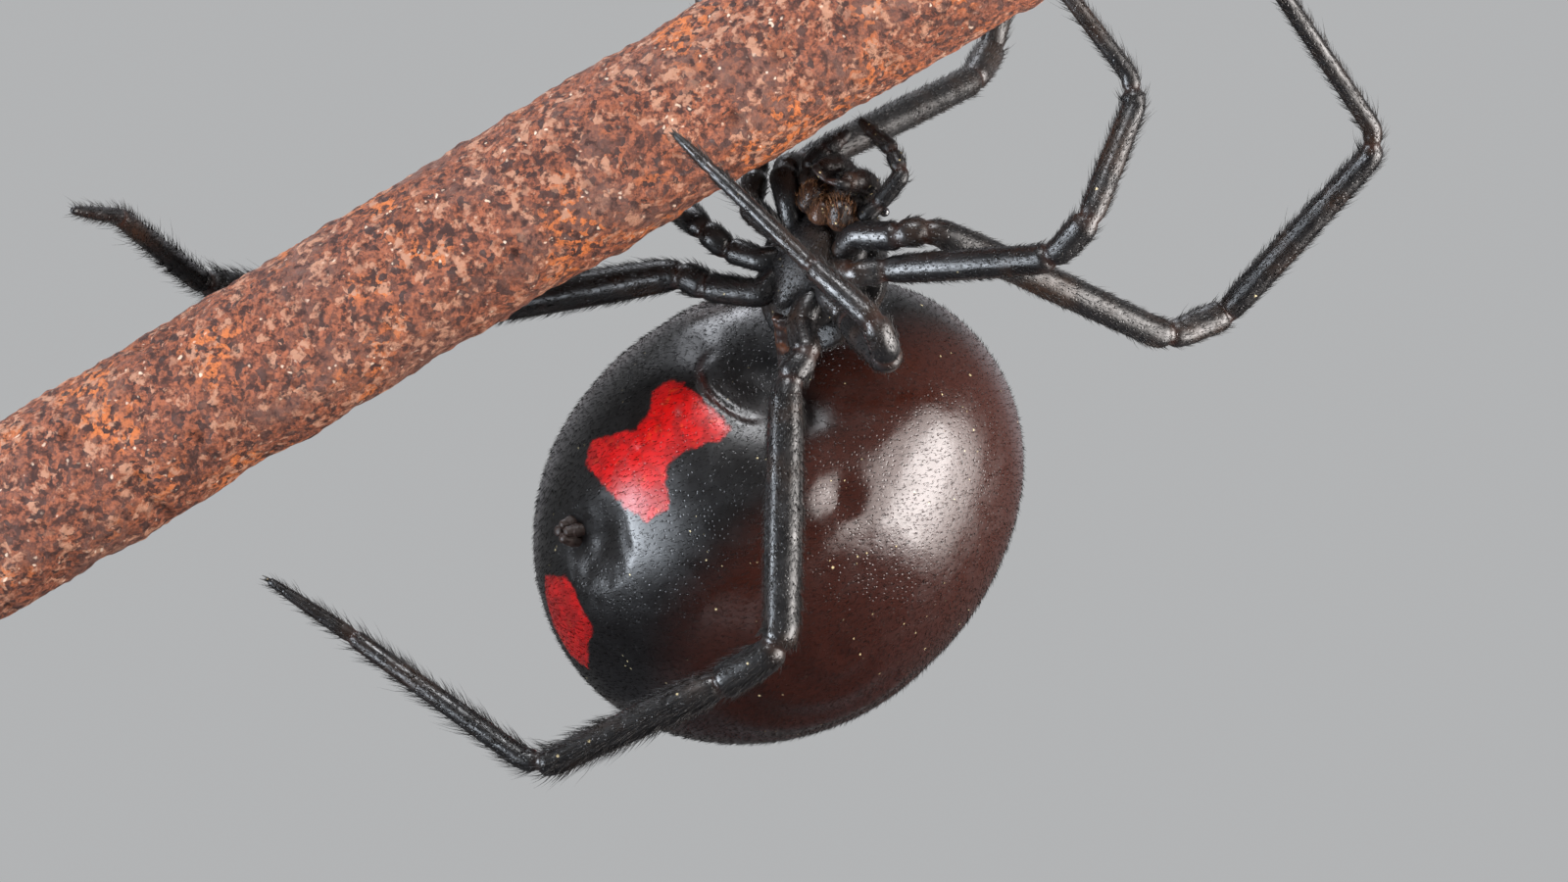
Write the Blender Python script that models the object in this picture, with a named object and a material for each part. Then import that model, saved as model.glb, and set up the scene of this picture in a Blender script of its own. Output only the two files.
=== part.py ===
"""A black widow spider holding on below a twig, life size, with the twig on a display stand.

The spider is a grown female seen on her belly side. Lengths are in metres, +Z is up, and the
origin is the middle of the underside of the stand's base. The camera's side is -Y.
"""

import math

import bmesh
import bpy
from mathutils import Vector

MM = 0.001

# Body sizes of a grown female, about 13 mm from head to the end of the abdomen
ABDOMEN_FRONT = 5.5 * MM
ABDOMEN_BACK = 5.05 * MM
ABDOMEN_HALF_WIDTH = 4.15 * MM
ABDOMEN_HALF_HEIGHT = 4.8 * MM
CARAPACE_HALF_LENGTH = 1.65 * MM
CARAPACE_HALF_WIDTH = 1.42 * MM
CARAPACE_RISE = 0.85 * MM
CARAPACE_UNDERSIDE = 0.22 * MM
CARAPACE_HEIGHT = 0.98 * MM
STERNUM_HALF_LENGTH = 0.92 * MM
STERNUM_HALF_WIDTH = 0.56 * MM
STERNUM_DEPTH = 0.5 * MM
EYE_RADIUS = 0.1 * MM
JOINT_GAP = 0.3 * MM
EYE_GAP = 0.05 * MM

# Where the body stands over the base, and which way its two halves face
PICTURE_CENTRE = Vector((2.0, -1.5, 13.0)) * MM
STERNUM_CENTRE = PICTURE_CENTRE + Vector((0.2, 0.25, 3.45)) * MM
HEAD_FORWARD = Vector((0.42, -0.18, 0.89)).normalized()
HEAD_BACKWARD_LEAN = Vector((0.52, 0.85, -0.07))
ABDOMEN_CENTRE = PICTURE_CENTRE + Vector((-0.24, 4.95, -1.47)) * MM
ABDOMEN_FORWARD = Vector((0.72, -0.20, 0.67)).normalized()
ABDOMEN_BACKWARD_LEAN = Vector((0.55, 0.757, -0.355))

# Twig and stand
TWIG_RADIUS = 1.66 * MM
TWIG_SLOPE = math.radians(30.9)
TWIG_MIDDLE = PICTURE_CENTRE + Vector((-4.2, -0.1, 5.04)) * MM
TWIG_LEFT_LENGTH = 15.6 * MM
TWIG_RIGHT_LENGTH = 15.9 * MM
BASE_LENGTH = 36.0 * MM
BASE_DEPTH = 22.0 * MM
BASE_THICKNESS = 3.0 * MM
BASE_CORNER = 3.0 * MM
BASE_EDGE = 0.5 * MM
ROD_RADIUS = 0.9 * MM
ROD_PLACE = Vector((-14.7, -1.6, 0.0)) * MM

# How round a tube is, and how far its bends turn between rings
TUBE_RESOLUTION = 3
TURN_PER_RING = math.radians(24)
BEND_RADIUS = 0.35 * MM
CAP_STUB = 0.03 * MM

# Rings of a podomere: how far along it they stand, and how much it swells there
PODOMERE_PROFILE = ((0.14, 1.0), (0.5, 1.05), (0.86, 1.0))
RING_MARGIN = 0.08 * MM
JOINT_WAIST = 0.95
CAP_EDGE = 0.94
SPLIT_AFTER = (1, 2, 4)
LEG_NODES = ("coxa", "femur", "tibia", "metatarsus")

# Faces of the twig and how it swells along its length
TWIG_RESOLUTION = 6
TWIG_RINGS = 16
TWIG_SWELL = 0.012
TWIG_SWELLS_PER_METRE = 900.0

# Colour and roughness of each finish
FINISHES = {
    "abdomen": ((0.035, 0.016, 0.013), 0.25),
    "spinnerets": ((0.03, 0.02, 0.016), 0.5),
    "carapace": ((0.012, 0.011, 0.011), 0.3),
    "sternum": ((0.012, 0.011, 0.011), 0.35),
    "pedicel": ((0.06, 0.03, 0.02), 0.5),
    "mouthparts": ((0.03, 0.018, 0.014), 0.4),
    "palps": ((0.014, 0.012, 0.012), 0.4),
    "eyes": ((0.005, 0.005, 0.005), 0.05),
    "legs": ((0.012, 0.011, 0.011), 0.35),
    "twig": ((0.16, 0.07, 0.045), 0.85),
    "stand": ((0.08, 0.08, 0.085), 0.45),
}

COLLECTION_NAME = "black_widow_spider"

# Each pair of legs: podomere lengths from trochanter to tarsus, and radii at the joints from the
# root of the coxa to the tip, in mm
LEG_PAIRS = {
    1: {
        "lengths": (0.55, 5.75, 1.35, 4.75, 5.35, 2.1),
        "radii": (0.23, 0.29, 0.31, 0.31, 0.29, 0.25, 0.22, 0.13),
    },
    2: {
        "lengths": (0.71, 3.75, 1.1, 2.8, 3.55, 1.45),
        "radii": (0.23, 0.27, 0.30, 0.30, 0.28, 0.25, 0.22, 0.13),
    },
    3: {
        "lengths": (0.62, 3.1, 1.0, 1.75, 2.75, 1.15),
        "radii": (0.22, 0.27, 0.30, 0.30, 0.28, 0.25, 0.22, 0.13),
    },
    4: {
        "lengths": (0.6, 5.3, 1.45, 3.9, 4.55, 2.0),
        "radii": (0.24, 0.30, 0.35, 0.34, 0.31, 0.25, 0.22, 0.13),
    },
}
COXA_ROOT_SIDES = {1: 0.86, 2: 0.86, 3: 0.86, 4: 0.55}
COXA_ROOT_SPREAD = 0.70
COXA_ROOT_UP = 0.24

# Pose of each leg: the end of its coxa from the middle of the sternum (forward, side, up, in mm),
# then for each podomere from trochanter to tarsus its turn as seen by the camera, from +X towards
# +Z, and its lean away from the camera, both in degrees
LEG_POSES = {
    ("left", 1): ((1.49, 1.77, 0.20), ((19, -11), (-24, 25), (23, 20), (48, -22), (126, -22), (128, -12))),
    ("left", 2): ((0.38, 1.28, -0.08), ((8, 10), (3, -32), (48, -23), (68, 16), (128, -11), (131, 16))),
    ("left", 3): ((-0.38, 1.49, 0.18), ((-72, -74), (-47, -69), (113, -27), (138, 25), (136, 15), (136, 26))),
    ("left", 4): ((-1.42, 1.20, -0.10), ((-133, -8), (-91, -10), (-150, 16), (-155, 5), (145, 14), (146, -3))),
    ("right", 1): ((1.40, -1.40, 0.42), ((16, 53), (28, 46), (60, 55), (79, 0), (115, -78), (-111, -60))),
    ("right", 2): ((0.49, -1.64, 0.19), ((71, 29), (104, 45), (116, 25), (72, -1), (7, -56), (-35, -37))),
    ("right", 3): ((-0.46, -1.61, 0.20), ((141, -3), (138, 49), (149, 30), (-164, -25), (-146, -19), (-142, -30))),
    ("right", 4): ((-1.30, -1.60, 0.05), ((149, 23), (-171, 24), (171, 26), (174, -29), (137, -67), (175, -68))),
}
SIDE_SIGN = {"left": 1, "right": -1}

# Eyes in two rows of four: direction from the middle of the head (forward, side, up)
EYE_DIRECTIONS = {
    "front_middle": (1.0, 0.12, 0.24),
    "front_side": (1.0, 0.38, 0.18),
    "rear_middle": (1.0, 0.14, 0.52),
    "rear_side": (1.0, 0.44, 0.46),
}


def body_axes(forward, lean):
    """Return forward, left and up unit vectors from a forward direction and a rough up direction."""
    up = (lean - forward * forward.dot(lean)).normalized()
    return forward, up.cross(forward), up


HEAD_AXES = body_axes(HEAD_FORWARD, HEAD_BACKWARD_LEAN)
ABDOMEN_AXES = body_axes(ABDOMEN_FORWARD, ABDOMEN_BACKWARD_LEAN)


def head_point(forward, side, up):
    """Return a place given in millimetres from the middle of the sternum along the head's axes."""
    ahead, left, above = HEAD_AXES
    return STERNUM_CENTRE + (ahead * forward + left * side + above * up) * MM


def clear_scene():
    """Remove every object of the start-up scene."""
    for thing in list(bpy.data.objects):
        bpy.data.objects.remove(thing, do_unlink=True)


def new_collection(name):
    """Add a collection below the scene's own."""
    collection = bpy.data.collections.new(name)
    bpy.context.scene.collection.children.link(collection)
    return collection


def make_material(name, colour, roughness):
    """Make a Principled material of one colour."""
    material = bpy.data.materials.new(name)
    material.use_nodes = True
    shader = material.node_tree.nodes["Principled BSDF"]
    shader.inputs["Base Color"].default_value = (*colour, 1.0)
    shader.inputs["Roughness"].default_value = roughness
    return material


def add_object(name, mesh, material, collection):
    """Link a mesh as a named, smooth-shaded piece with its material."""
    mesh.shade_smooth()
    mesh.materials.clear()
    mesh.materials.append(material)
    piece = bpy.data.objects.new(name, mesh)
    collection.objects.link(piece)
    return piece


def tube_mesh(name, points, radii, resolution=TUBE_RESOLUTION):
    """Sweep a round section along points with a radius at each one, and weld its caps."""
    curve = bpy.data.curves.new(name, "CURVE")
    curve.dimensions = "3D"
    curve.bevel_depth = 1.0
    curve.bevel_resolution = resolution
    curve.use_fill_caps = True
    spline = curve.splines.new("POLY")
    spline.points.add(len(points) - 1)
    for knot, point, radius in zip(spline.points, points, radii):
        knot.co = (*point, 1.0)
        knot.radius = radius
    guide = bpy.data.objects.new(name + "_guide", curve)
    bpy.context.scene.collection.objects.link(guide)
    evaluated = guide.evaluated_get(bpy.context.evaluated_depsgraph_get())
    mesh = bpy.data.meshes.new_from_object(evaluated)
    bpy.data.objects.remove(guide, do_unlink=True)
    bpy.data.curves.remove(curve)
    form = bmesh.new()
    form.from_mesh(mesh)
    bmesh.ops.remove_doubles(form, verts=form.verts, dist=0.001 * MM)
    form.to_mesh(mesh)
    form.free()
    mesh.name = name
    return mesh


def ball_mesh(name, shape, rings, segments):
    """Make a ball whose unit directions are moved by shape(direction) to their places."""
    form = bmesh.new()
    bmesh.ops.create_uvsphere(form, u_segments=segments, v_segments=rings, radius=1.0)
    for vertex in form.verts:
        vertex.co = shape(vertex.co.normalized())
    mesh = bpy.data.meshes.new(name)
    form.to_mesh(mesh)
    form.free()
    return mesh


def smooth_step(value):
    """Ease a value from 0 to 1, flat at both ends."""
    value = min(1.0, max(0.0, value))
    return value * value * (3.0 - 2.0 * value)


def bump(direction, centre, width_degrees):
    """Return 1 at a direction and less around it, by a bell of the given width."""
    angle = math.degrees(direction.angle(centre))
    return math.exp(-((angle / width_degrees) ** 2))


# Abdomen
# Directions on it are turned in the middle plane, from straight down towards the head
def belly_direction(towards_head_degrees, towards_left_degrees=0.0):
    """Return a unit direction in the abdomen's own axes (forward, left, up)."""
    lift = math.radians(towards_head_degrees)
    side = math.radians(towards_left_degrees)
    return Vector((
        math.sin(lift) * math.cos(side),
        math.sin(side),
        -math.cos(lift) * math.cos(side),
    ))


PEDICEL_DIRECTION = belly_direction(40.0, 6.0)
HOLLOW_DIRECTION = belly_direction(43.0)
FURROW_DIRECTION = belly_direction(18.0)
SPINNERET_DIRECTION = belly_direction(-33.0)


def abdomen_local(direction):
    """Return the abdomen's surface in its own axes along a unit direction."""
    length = ABDOMEN_FRONT if direction.x > 0 else ABDOMEN_BACK
    stretch = 1.0 / math.sqrt(
        (direction.x / length) ** 2
        + (direction.y / ABDOMEN_HALF_WIDTH) ** 2
        + (direction.z / ABDOMEN_HALF_HEIGHT) ** 2
    )
    stretch *= 1.0 - 0.13 * bump(direction, HOLLOW_DIRECTION, 24.0)
    stretch *= 1.0 + 0.02 * bump(direction, FURROW_DIRECTION, 9.0)
    stretch *= 1.0 - 0.03 * bump(direction, SPINNERET_DIRECTION, 13.0)
    return direction * stretch


def abdomen_place(local):
    """Turn a place in the abdomen's own axes into the model's."""
    ahead, left, above = ABDOMEN_AXES
    return ABDOMEN_CENTRE + ahead * local.x + left * local.y + above * local.z


def build_abdomen(collection, materials):
    """Build the abdomen and the spinnerets that stand on its belly."""
    mesh = ball_mesh("abdomen", lambda way: abdomen_place(abdomen_local(way)), 24, 32)
    add_object("abdomen", mesh, materials["abdomen"], collection)

    root = abdomen_place(abdomen_local(SPINNERET_DIRECTION))
    outward = (root - ABDOMEN_CENTRE).normalized()
    stations = (0.0, 0.12, 0.3, 0.45, 0.52)
    widths = (0.52, 0.6, 0.52, 0.36, 0.2)
    points = [root + outward * (JOINT_GAP + far * MM) for far in stations]
    mesh = tube_mesh("spinnerets", points, [wide * MM for wide in widths], 4)
    add_object("spinnerets", mesh, materials["spinnerets"], collection)


# Front body
def carapace_place(direction):
    """Return the carapace's surface along a unit direction (forward, side, up) from its middle."""
    ahead = direction.x
    narrow = 1.0 - 0.34 * smooth_step((ahead - 0.1) / 0.8)
    head_lift = 1.0 + 0.12 * smooth_step((ahead - 0.15) / 0.4)
    groove = 1.0 - 0.16 * math.exp(-(((ahead + 0.3) / 0.22) ** 2) - (direction.y / 0.25) ** 2)
    side = direction.y * CARAPACE_HALF_WIDTH * narrow
    if direction.z > 0:
        up = direction.z * CARAPACE_HEIGHT * head_lift * groove
    else:
        up = direction.z * CARAPACE_UNDERSIDE
    forward, left, above = HEAD_AXES
    centre = STERNUM_CENTRE + above * (CARAPACE_RISE + CARAPACE_UNDERSIDE)
    return centre + forward * (ahead * CARAPACE_HALF_LENGTH) + left * side + above * up


def sternum_place(direction):
    """Return the sternum's surface: a shield, widest in front of its middle and pointed behind."""
    taper = 1.0 - 0.42 * smooth_step(-direction.x * 1.1)
    forward, left, above = HEAD_AXES
    thick = STERNUM_DEPTH / 2
    return (
        STERNUM_CENTRE
        + above * (thick + direction.z * thick)
        + forward * (direction.x * STERNUM_HALF_LENGTH)
        + left * (direction.y * STERNUM_HALF_WIDTH * taper)
    )


def build_front_body(collection, materials):
    """Build the carapace, sternum and the stalk to the abdomen."""
    mesh = ball_mesh("carapace", carapace_place, 18, 28)
    add_object("carapace", mesh, materials["carapace"], collection)
    mesh = ball_mesh("sternum", sternum_place, 12, 20)
    add_object("sternum", mesh, materials["sternum"], collection)

    start = head_point(-1.22, 0.0, 0.34)
    socket = abdomen_place(abdomen_local(PEDICEL_DIRECTION))
    towards = (socket - start).normalized()
    end = socket - towards * JOINT_GAP
    points = [start, start.lerp(end, 0.35), start.lerp(end, 0.7), end]
    radii = [width * MM for width in (0.22, 0.2, 0.2, 0.25)]
    add_object("pedicel", tube_mesh("pedicel", points, radii), materials["pedicel"], collection)


def build_mouthparts(collection, materials):
    """Build the jaws, the lobes beside the mouth and the palps, one set on each side."""
    for side_name, sign in SIDE_SIGN.items():
        jaw = [(1.88, 0.33, 0.82), (1.95, 0.33, 0.62), (1.96, 0.33, 0.35), (1.91, 0.32, 0.06), (1.84, 0.28, -0.08)]
        points = [head_point(ahead, side * sign, up) for ahead, side, up in jaw]
        radii = [width * MM for width in (0.17, 0.2, 0.2, 0.17, 0.12)]
        name = "chelicera_" + side_name
        add_object(name, tube_mesh(name, points, radii), materials["mouthparts"], collection)

        lobe = [(1.12, 0.37, 0.24), (1.20, 0.38, 0.2), (1.36, 0.34, 0.15), (1.48, 0.27, 0.12)]
        points = [head_point(ahead, side * sign, up) for ahead, side, up in lobe]
        radii = [width * MM for width in (0.17, 0.23, 0.21, 0.12)]
        name = "maxilla_" + side_name
        add_object(name, tube_mesh(name, points, radii), materials["mouthparts"], collection)


def build_palps(collection, materials):
    """Build the two palps, each a short jointed feeler curling back over the jaws."""
    routes = {
        "left": ((1.52, 0.78, 0.46), (1.72, 0.84, 0.52), (2.48, 0.98, 0.62), (2.80, 0.42, 0.72), (2.95, -0.55, 0.85)),
        "right": ((1.58, -0.75, 0.5), (1.75, -0.88, 0.56), (2.15, -0.82, 0.66), (2.42, -0.74, 0.82), (2.62, -0.73, 1.0)),
    }
    for side_name, route in routes.items():
        points = [head_point(*place) for place in route]
        radii = [width * MM for width in (0.19, 0.21, 0.22, 0.2, 0.11)]
        name = "palp_" + side_name
        add_object(name, tube_mesh(name, points, radii), materials["palps"], collection)


def build_eyes(collection, materials):
    """Build the eight eyes, set on the front of the carapace."""
    for side_name, sign in SIDE_SIGN.items():
        for place_name, (ahead, side, up) in EYE_DIRECTIONS.items():
            direction = Vector((ahead, side * sign, up)).normalized()
            surface = carapace_place(direction)
            one = carapace_place((direction + Vector((0.0, 0.02, 0.0))).normalized()) - surface
            other = carapace_place((direction + Vector((0.0, 0.0, 0.02))).normalized()) - surface
            outward = one.cross(other).normalized()
            centre = surface + outward * (EYE_GAP + EYE_RADIUS)
            name = "eye_" + place_name + "_" + side_name
            mesh = ball_mesh(name, lambda way, middle=centre: middle + way * EYE_RADIUS, 6, 10)
            add_object(name, mesh, materials["eyes"], collection)


# Legs
def pose_direction(turn_degrees, lean_degrees):
    """Return the unit vector of a podomere from its turn in the picture and its lean away."""
    turn = math.radians(turn_degrees)
    lean = math.radians(lean_degrees)
    return Vector((math.cos(turn) * math.cos(lean), math.sin(lean), math.sin(turn) * math.cos(lean)))


def round_corner(corner, into, out_of, straight):
    """Round a corner of a leg's middle line, with a straight stretch left in its middle.

    Returns the points of both halves, the direction in the middle and the length that the
    rounding takes up on either side of the corner.
    """
    middle = (into + out_of).normalized()
    inward = (out_of - into).normalized()
    half = into.angle(out_of) / 2
    reach = (straight / 2 + BEND_RADIUS * math.sin(half)) / math.cos(half)
    inset = reach * math.sin(half) - BEND_RADIUS * (1.0 - math.cos(half))
    pivot = corner + inward * (inset + BEND_RADIUS)
    steps = max(1, math.ceil(half / TURN_PER_RING))
    before = []
    after = []
    for step in range(steps + 1):
        angle = half * step / steps
        drop = inward * (BEND_RADIUS * math.cos(angle))
        along = middle * (straight / 2 + BEND_RADIUS * math.sin(angle))
        after.append(pivot - drop + along)
        before.insert(0, pivot - drop - along)
    return before, after, middle, reach


def leg_joints(side_name, pair):
    """Return the joints of a leg, from the root of its coxa to the tip of its tarsus."""
    hip, directions = LEG_POSES[(side_name, pair)]
    root_side = COXA_ROOT_SIDES[pair] * SIDE_SIGN[side_name]
    joints = [head_point(hip[0] * COXA_ROOT_SPREAD, root_side, COXA_ROOT_UP), head_point(*hip)]
    for length, (turn, lean) in zip(LEG_PAIRS[pair]["lengths"], directions):
        joints.append(joints[-1] + pose_direction(turn, lean) * (length * MM))
    return joints


def leg_rings(joints, radii):
    """Return one list of (point, radius) rings for each node of a leg."""
    nodes = [[(joints[0], radii[0])]]
    taken = 0.0
    for index in range(len(joints) - 1):
        start = joints[index]
        end = joints[index + 1]
        way = (end - start).normalized()
        length = (end - start).length
        last = index + 2 == len(joints)
        splits = index in SPLIT_AFTER
        if last:
            reach = 0.0
        else:
            onward = (joints[index + 2] - end).normalized()
            straight = JOINT_GAP + 2 * CAP_STUB if splits else 0.0
            before, after, middle, reach = round_corner(end, way, onward, straight)
        for part, swell in PODOMERE_PROFILE:
            far = length * part
            if taken + RING_MARGIN < far < length - reach - RING_MARGIN:
                radius = radii[index] + (radii[index + 1] - radii[index]) * part
                nodes[-1].append((start + way * far, radius * swell))
        if last:
            nodes[-1].append((end, radii[-1]))
            return nodes
        radius = radii[index + 1] * JOINT_WAIST
        nodes[-1] += [(point, radius) for point in before]
        if splits:
            nodes[-1].append((before[-1] + middle * CAP_STUB, radius * CAP_EDGE))
            nodes.append([(after[0] - middle * CAP_STUB, radius * CAP_EDGE)])
            nodes[-1] += [(point, radius) for point in after]
        else:
            nodes[-1] += [(point, radius) for point in after[1:]]
        taken = reach
    return nodes


def build_legs(collection, materials):
    """Build eight legs, each of four nodes that meet face to face at its main joints."""
    for side_name in SIDE_SIGN:
        for pair, sizes in LEG_PAIRS.items():
            radii = [width * MM for width in sizes["radii"]]
            nodes = leg_rings(leg_joints(side_name, pair), radii)
            for node_name, rings in zip(LEG_NODES, nodes):
                name = "leg_" + side_name + "_" + str(pair) + "_" + node_name
                mesh = tube_mesh(name, [point for point, _ in rings], [wide for _, wide in rings])
                add_object(name, mesh, materials["legs"], collection)


# Perch and stand
def build_twig(collection, materials):
    """Build the cut length of twig that the spider holds, with low swellings along it."""
    way = Vector((math.cos(TWIG_SLOPE), 0.0, math.sin(TWIG_SLOPE)))
    total = TWIG_LEFT_LENGTH + TWIG_RIGHT_LENGTH
    points = []
    radii = []
    for ring in range(TWIG_RINGS + 1):
        far = total * ring / TWIG_RINGS - TWIG_LEFT_LENGTH
        points.append(TWIG_MIDDLE + way * far)
        radii.append(TWIG_RADIUS * (1.0 + TWIG_SWELL * math.sin(far * TWIG_SWELLS_PER_METRE)))
    add_object("twig", tube_mesh("twig", points, radii, TWIG_RESOLUTION), materials["twig"], collection)


def build_stand(collection, materials):
    """Build the flat base and the one short rod up to the twig's lower end."""
    bpy.ops.mesh.primitive_cube_add(size=1.0)
    base = bpy.context.object
    base.name = "stand_base"
    for corner in base.data.vertices:
        corner.co.x *= BASE_LENGTH
        corner.co.y *= BASE_DEPTH
        corner.co.z = (corner.co.z + 0.5) * BASE_THICKNESS
    form = bmesh.new()
    form.from_mesh(base.data)
    uprights = [edge for edge in form.edges if abs(edge.verts[0].co.z - edge.verts[1].co.z) > BASE_EDGE]
    bmesh.ops.bevel(form, geom=uprights, offset=BASE_CORNER, segments=5, affect="EDGES", profile=0.5)
    rim = [edge for edge in form.edges if min(vertex.co.z for vertex in edge.verts) > BASE_THICKNESS - BASE_EDGE]
    bmesh.ops.bevel(form, geom=rim, offset=BASE_EDGE, segments=2, affect="EDGES", profile=0.5)
    form.to_mesh(base.data)
    form.free()
    for owner in list(base.users_collection):
        owner.objects.unlink(base)
    collection.objects.link(base)
    base.data.materials.append(materials["stand"])

    bpy.ops.mesh.primitive_cylinder_add(vertices=24, radius=ROD_RADIUS, depth=1.0)
    rod = bpy.context.object
    rod.name = "stand_rod"
    foot = BASE_THICKNESS + JOINT_GAP
    for corner in rod.data.vertices:
        place = corner.co.copy()
        along = place.x + ROD_PLACE.x - TWIG_MIDDLE.x
        under_twig = TWIG_MIDDLE.z + along * math.tan(TWIG_SLOPE) - (TWIG_RADIUS + JOINT_GAP) / math.cos(TWIG_SLOPE)
        height = under_twig if place.z > 0 else foot
        corner.co = Vector((place.x + ROD_PLACE.x, place.y + ROD_PLACE.y, height))
    rod.data.shade_smooth()
    rod.data.set_sharp_from_angle(angle=math.radians(40))
    for owner in list(rod.users_collection):
        owner.objects.unlink(rod)
    collection.objects.link(rod)
    rod.data.materials.append(materials["stand"])


def main():
    """Build every piece of the model."""
    clear_scene()
    collection = new_collection(COLLECTION_NAME)
    materials = {name: make_material(name, *values) for name, values in FINISHES.items()}
    build_abdomen(collection, materials)
    build_front_body(collection, materials)
    build_mouthparts(collection, materials)
    build_palps(collection, materials)
    build_eyes(collection, materials)
    build_legs(collection, materials)
    build_twig(collection, materials)
    build_stand(collection, materials)


main()
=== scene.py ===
"""The looks of a black widow spider that holds on below a twig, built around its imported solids.

Lengths are in metres unless a comment gives another unit, +Z is up and the camera stands on the -Y side.
Every piece of flesh is one smooth skin with its own coat of modelled hairs. The display stand keeps its
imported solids.
"""

import itertools
import logging
import math
from dataclasses import dataclass, field
from enum import Enum
from typing import Callable, Sequence

import bpy
import numpy as np
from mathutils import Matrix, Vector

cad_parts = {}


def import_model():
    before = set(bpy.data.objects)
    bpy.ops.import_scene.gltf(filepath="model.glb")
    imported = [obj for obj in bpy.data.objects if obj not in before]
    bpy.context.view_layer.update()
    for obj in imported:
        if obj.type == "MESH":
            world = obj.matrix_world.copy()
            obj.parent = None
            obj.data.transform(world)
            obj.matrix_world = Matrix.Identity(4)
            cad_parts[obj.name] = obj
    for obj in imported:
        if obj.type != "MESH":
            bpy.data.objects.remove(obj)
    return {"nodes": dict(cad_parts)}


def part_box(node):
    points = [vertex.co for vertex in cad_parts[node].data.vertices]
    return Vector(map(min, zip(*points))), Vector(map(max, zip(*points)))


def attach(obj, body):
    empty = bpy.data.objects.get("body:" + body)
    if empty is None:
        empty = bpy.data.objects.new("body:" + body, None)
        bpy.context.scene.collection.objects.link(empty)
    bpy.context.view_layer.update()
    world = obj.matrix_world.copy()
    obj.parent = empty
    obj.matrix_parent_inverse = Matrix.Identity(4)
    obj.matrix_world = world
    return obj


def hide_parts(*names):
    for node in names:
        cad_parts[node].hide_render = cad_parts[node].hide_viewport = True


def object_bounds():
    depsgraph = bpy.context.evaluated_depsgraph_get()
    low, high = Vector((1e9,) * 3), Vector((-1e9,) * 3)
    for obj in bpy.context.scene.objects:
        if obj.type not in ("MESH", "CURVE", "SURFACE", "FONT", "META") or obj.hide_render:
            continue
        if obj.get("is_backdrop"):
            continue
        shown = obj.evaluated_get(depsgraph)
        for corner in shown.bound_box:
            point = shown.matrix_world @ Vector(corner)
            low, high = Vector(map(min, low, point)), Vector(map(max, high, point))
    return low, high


Array = np.ndarray
Object = bpy.types.Object
Material = bpy.types.Material
Socket = bpy.types.NodeSocket
Value = float | tuple[float, ...] | Socket
Colour = tuple[float, float, float, float]
Triple = tuple[float, float, float]
Profile = Sequence[tuple[float, float]]
PlaceAt = Callable[[Array], Array]
RadiusAt = Callable[[Array, Array], Array]

MM = 0.001
MICRON = 0.000001
FULL_TURN = 2.0 * math.pi
COAT_MAP = "OFBake"
MAP_MARGIN = 0.002
# Least and most factor of a hair's length
HAIR_VARIES = (0.7, 1.25)
log = logging.getLogger("black_widow")


# Numbers and directions
def unit(vectors: Array) -> Array:
    """Return the vectors at length one."""
    return vectors / np.maximum(np.linalg.norm(vectors, axis=-1, keepdims=True), 1e-15)


def smooth_step(value: Array, low: float = 0.0, high: float = 1.0) -> Array:
    """Ease from 0 at low to 1 at high."""
    part = np.clip((value - low) / (high - low), 0.0, 1.0)
    return part * part * (3.0 - 2.0 * part)


def bell(distance: Array, width: float = 1.0) -> Array:
    """Return 1 at distance 0 and less beyond it, by a bell of the given width."""
    return np.exp(-((distance / width) ** 2))


def degrees_between(directions: Array, centre: Array) -> Array:
    """Return the angle from each unit direction to one unit direction."""
    return np.degrees(np.arccos(np.clip(directions @ centre, -1.0, 1.0)))


def across(ways: Array, spare: Triple) -> Array:
    """Return a unit direction square to each given one, found from spare where that one is steep."""
    steep = np.abs(ways[:, 2:3]) >= 0.8
    return unit(np.cross(ways, np.where(steep, np.array([spare]), np.array([[0.0, 0.0, 1.0]]))))


def into_map(share: Array) -> Array:
    """Return shares of a whole as places on a map, kept off its edge."""
    return MAP_MARGIN + share * (1.0 - 2.0 * MAP_MARGIN)


def along_line(points: Array) -> Array:
    """Return the distance along a broken line at each of its corners."""
    return np.concatenate(([0.0], np.cumsum(np.linalg.norm(np.diff(points, axis=0), axis=1))))


def body_axes(forward: Triple, lean: Triple) -> Array:
    """Return the axes of a part of the body.

    Args:
        forward: Direction towards its front.
        lean: Rough direction towards its back.

    Returns:
        The rows forward, left and up.
    """
    ahead = unit(np.array(forward))
    up = unit(np.array(lean) - ahead * np.dot(ahead, lean))
    return np.array((ahead, np.cross(up, ahead), up))


class LatticeNoise:
    """Smooth noise from random values on a repeating lattice."""

    SIZE = 48

    def __init__(self, seed: int) -> None:
        """Fill the lattice from a seed."""
        self.table = np.random.default_rng(seed).uniform(-1.0, 1.0, (self.SIZE,) * 3)

    def at(self, points: Array, wavelength: float) -> Array:
        """Return the noise between -1 and 1.

        Args:
            points: Places, one a row.
            wavelength: Distance between lattice values.

        Returns:
            One value for each place.
        """
        scaled = points / wavelength
        base = np.floor(scaled).astype(int)
        part = smooth_step(scaled - base)
        total = np.zeros(len(points))
        for corner in itertools.product((0, 1), repeat=3):
            weight = np.prod(np.where(np.array(corner), part, 1.0 - part), axis=1)
            place = (base + np.array(corner)) % self.SIZE
            total += weight * self.table[place[:, 0], place[:, 1], place[:, 2]]
        return total


# Where the model stands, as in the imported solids
PICTURE_CENTRE = np.array((2.0, -1.5, 13.0)) * MM
STERNUM_CENTRE = PICTURE_CENTRE + np.array((0.2, 0.25, 3.45)) * MM
HEAD_AXES = body_axes((0.42, -0.18, 0.89), (0.52, 0.85, -0.07))


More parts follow.
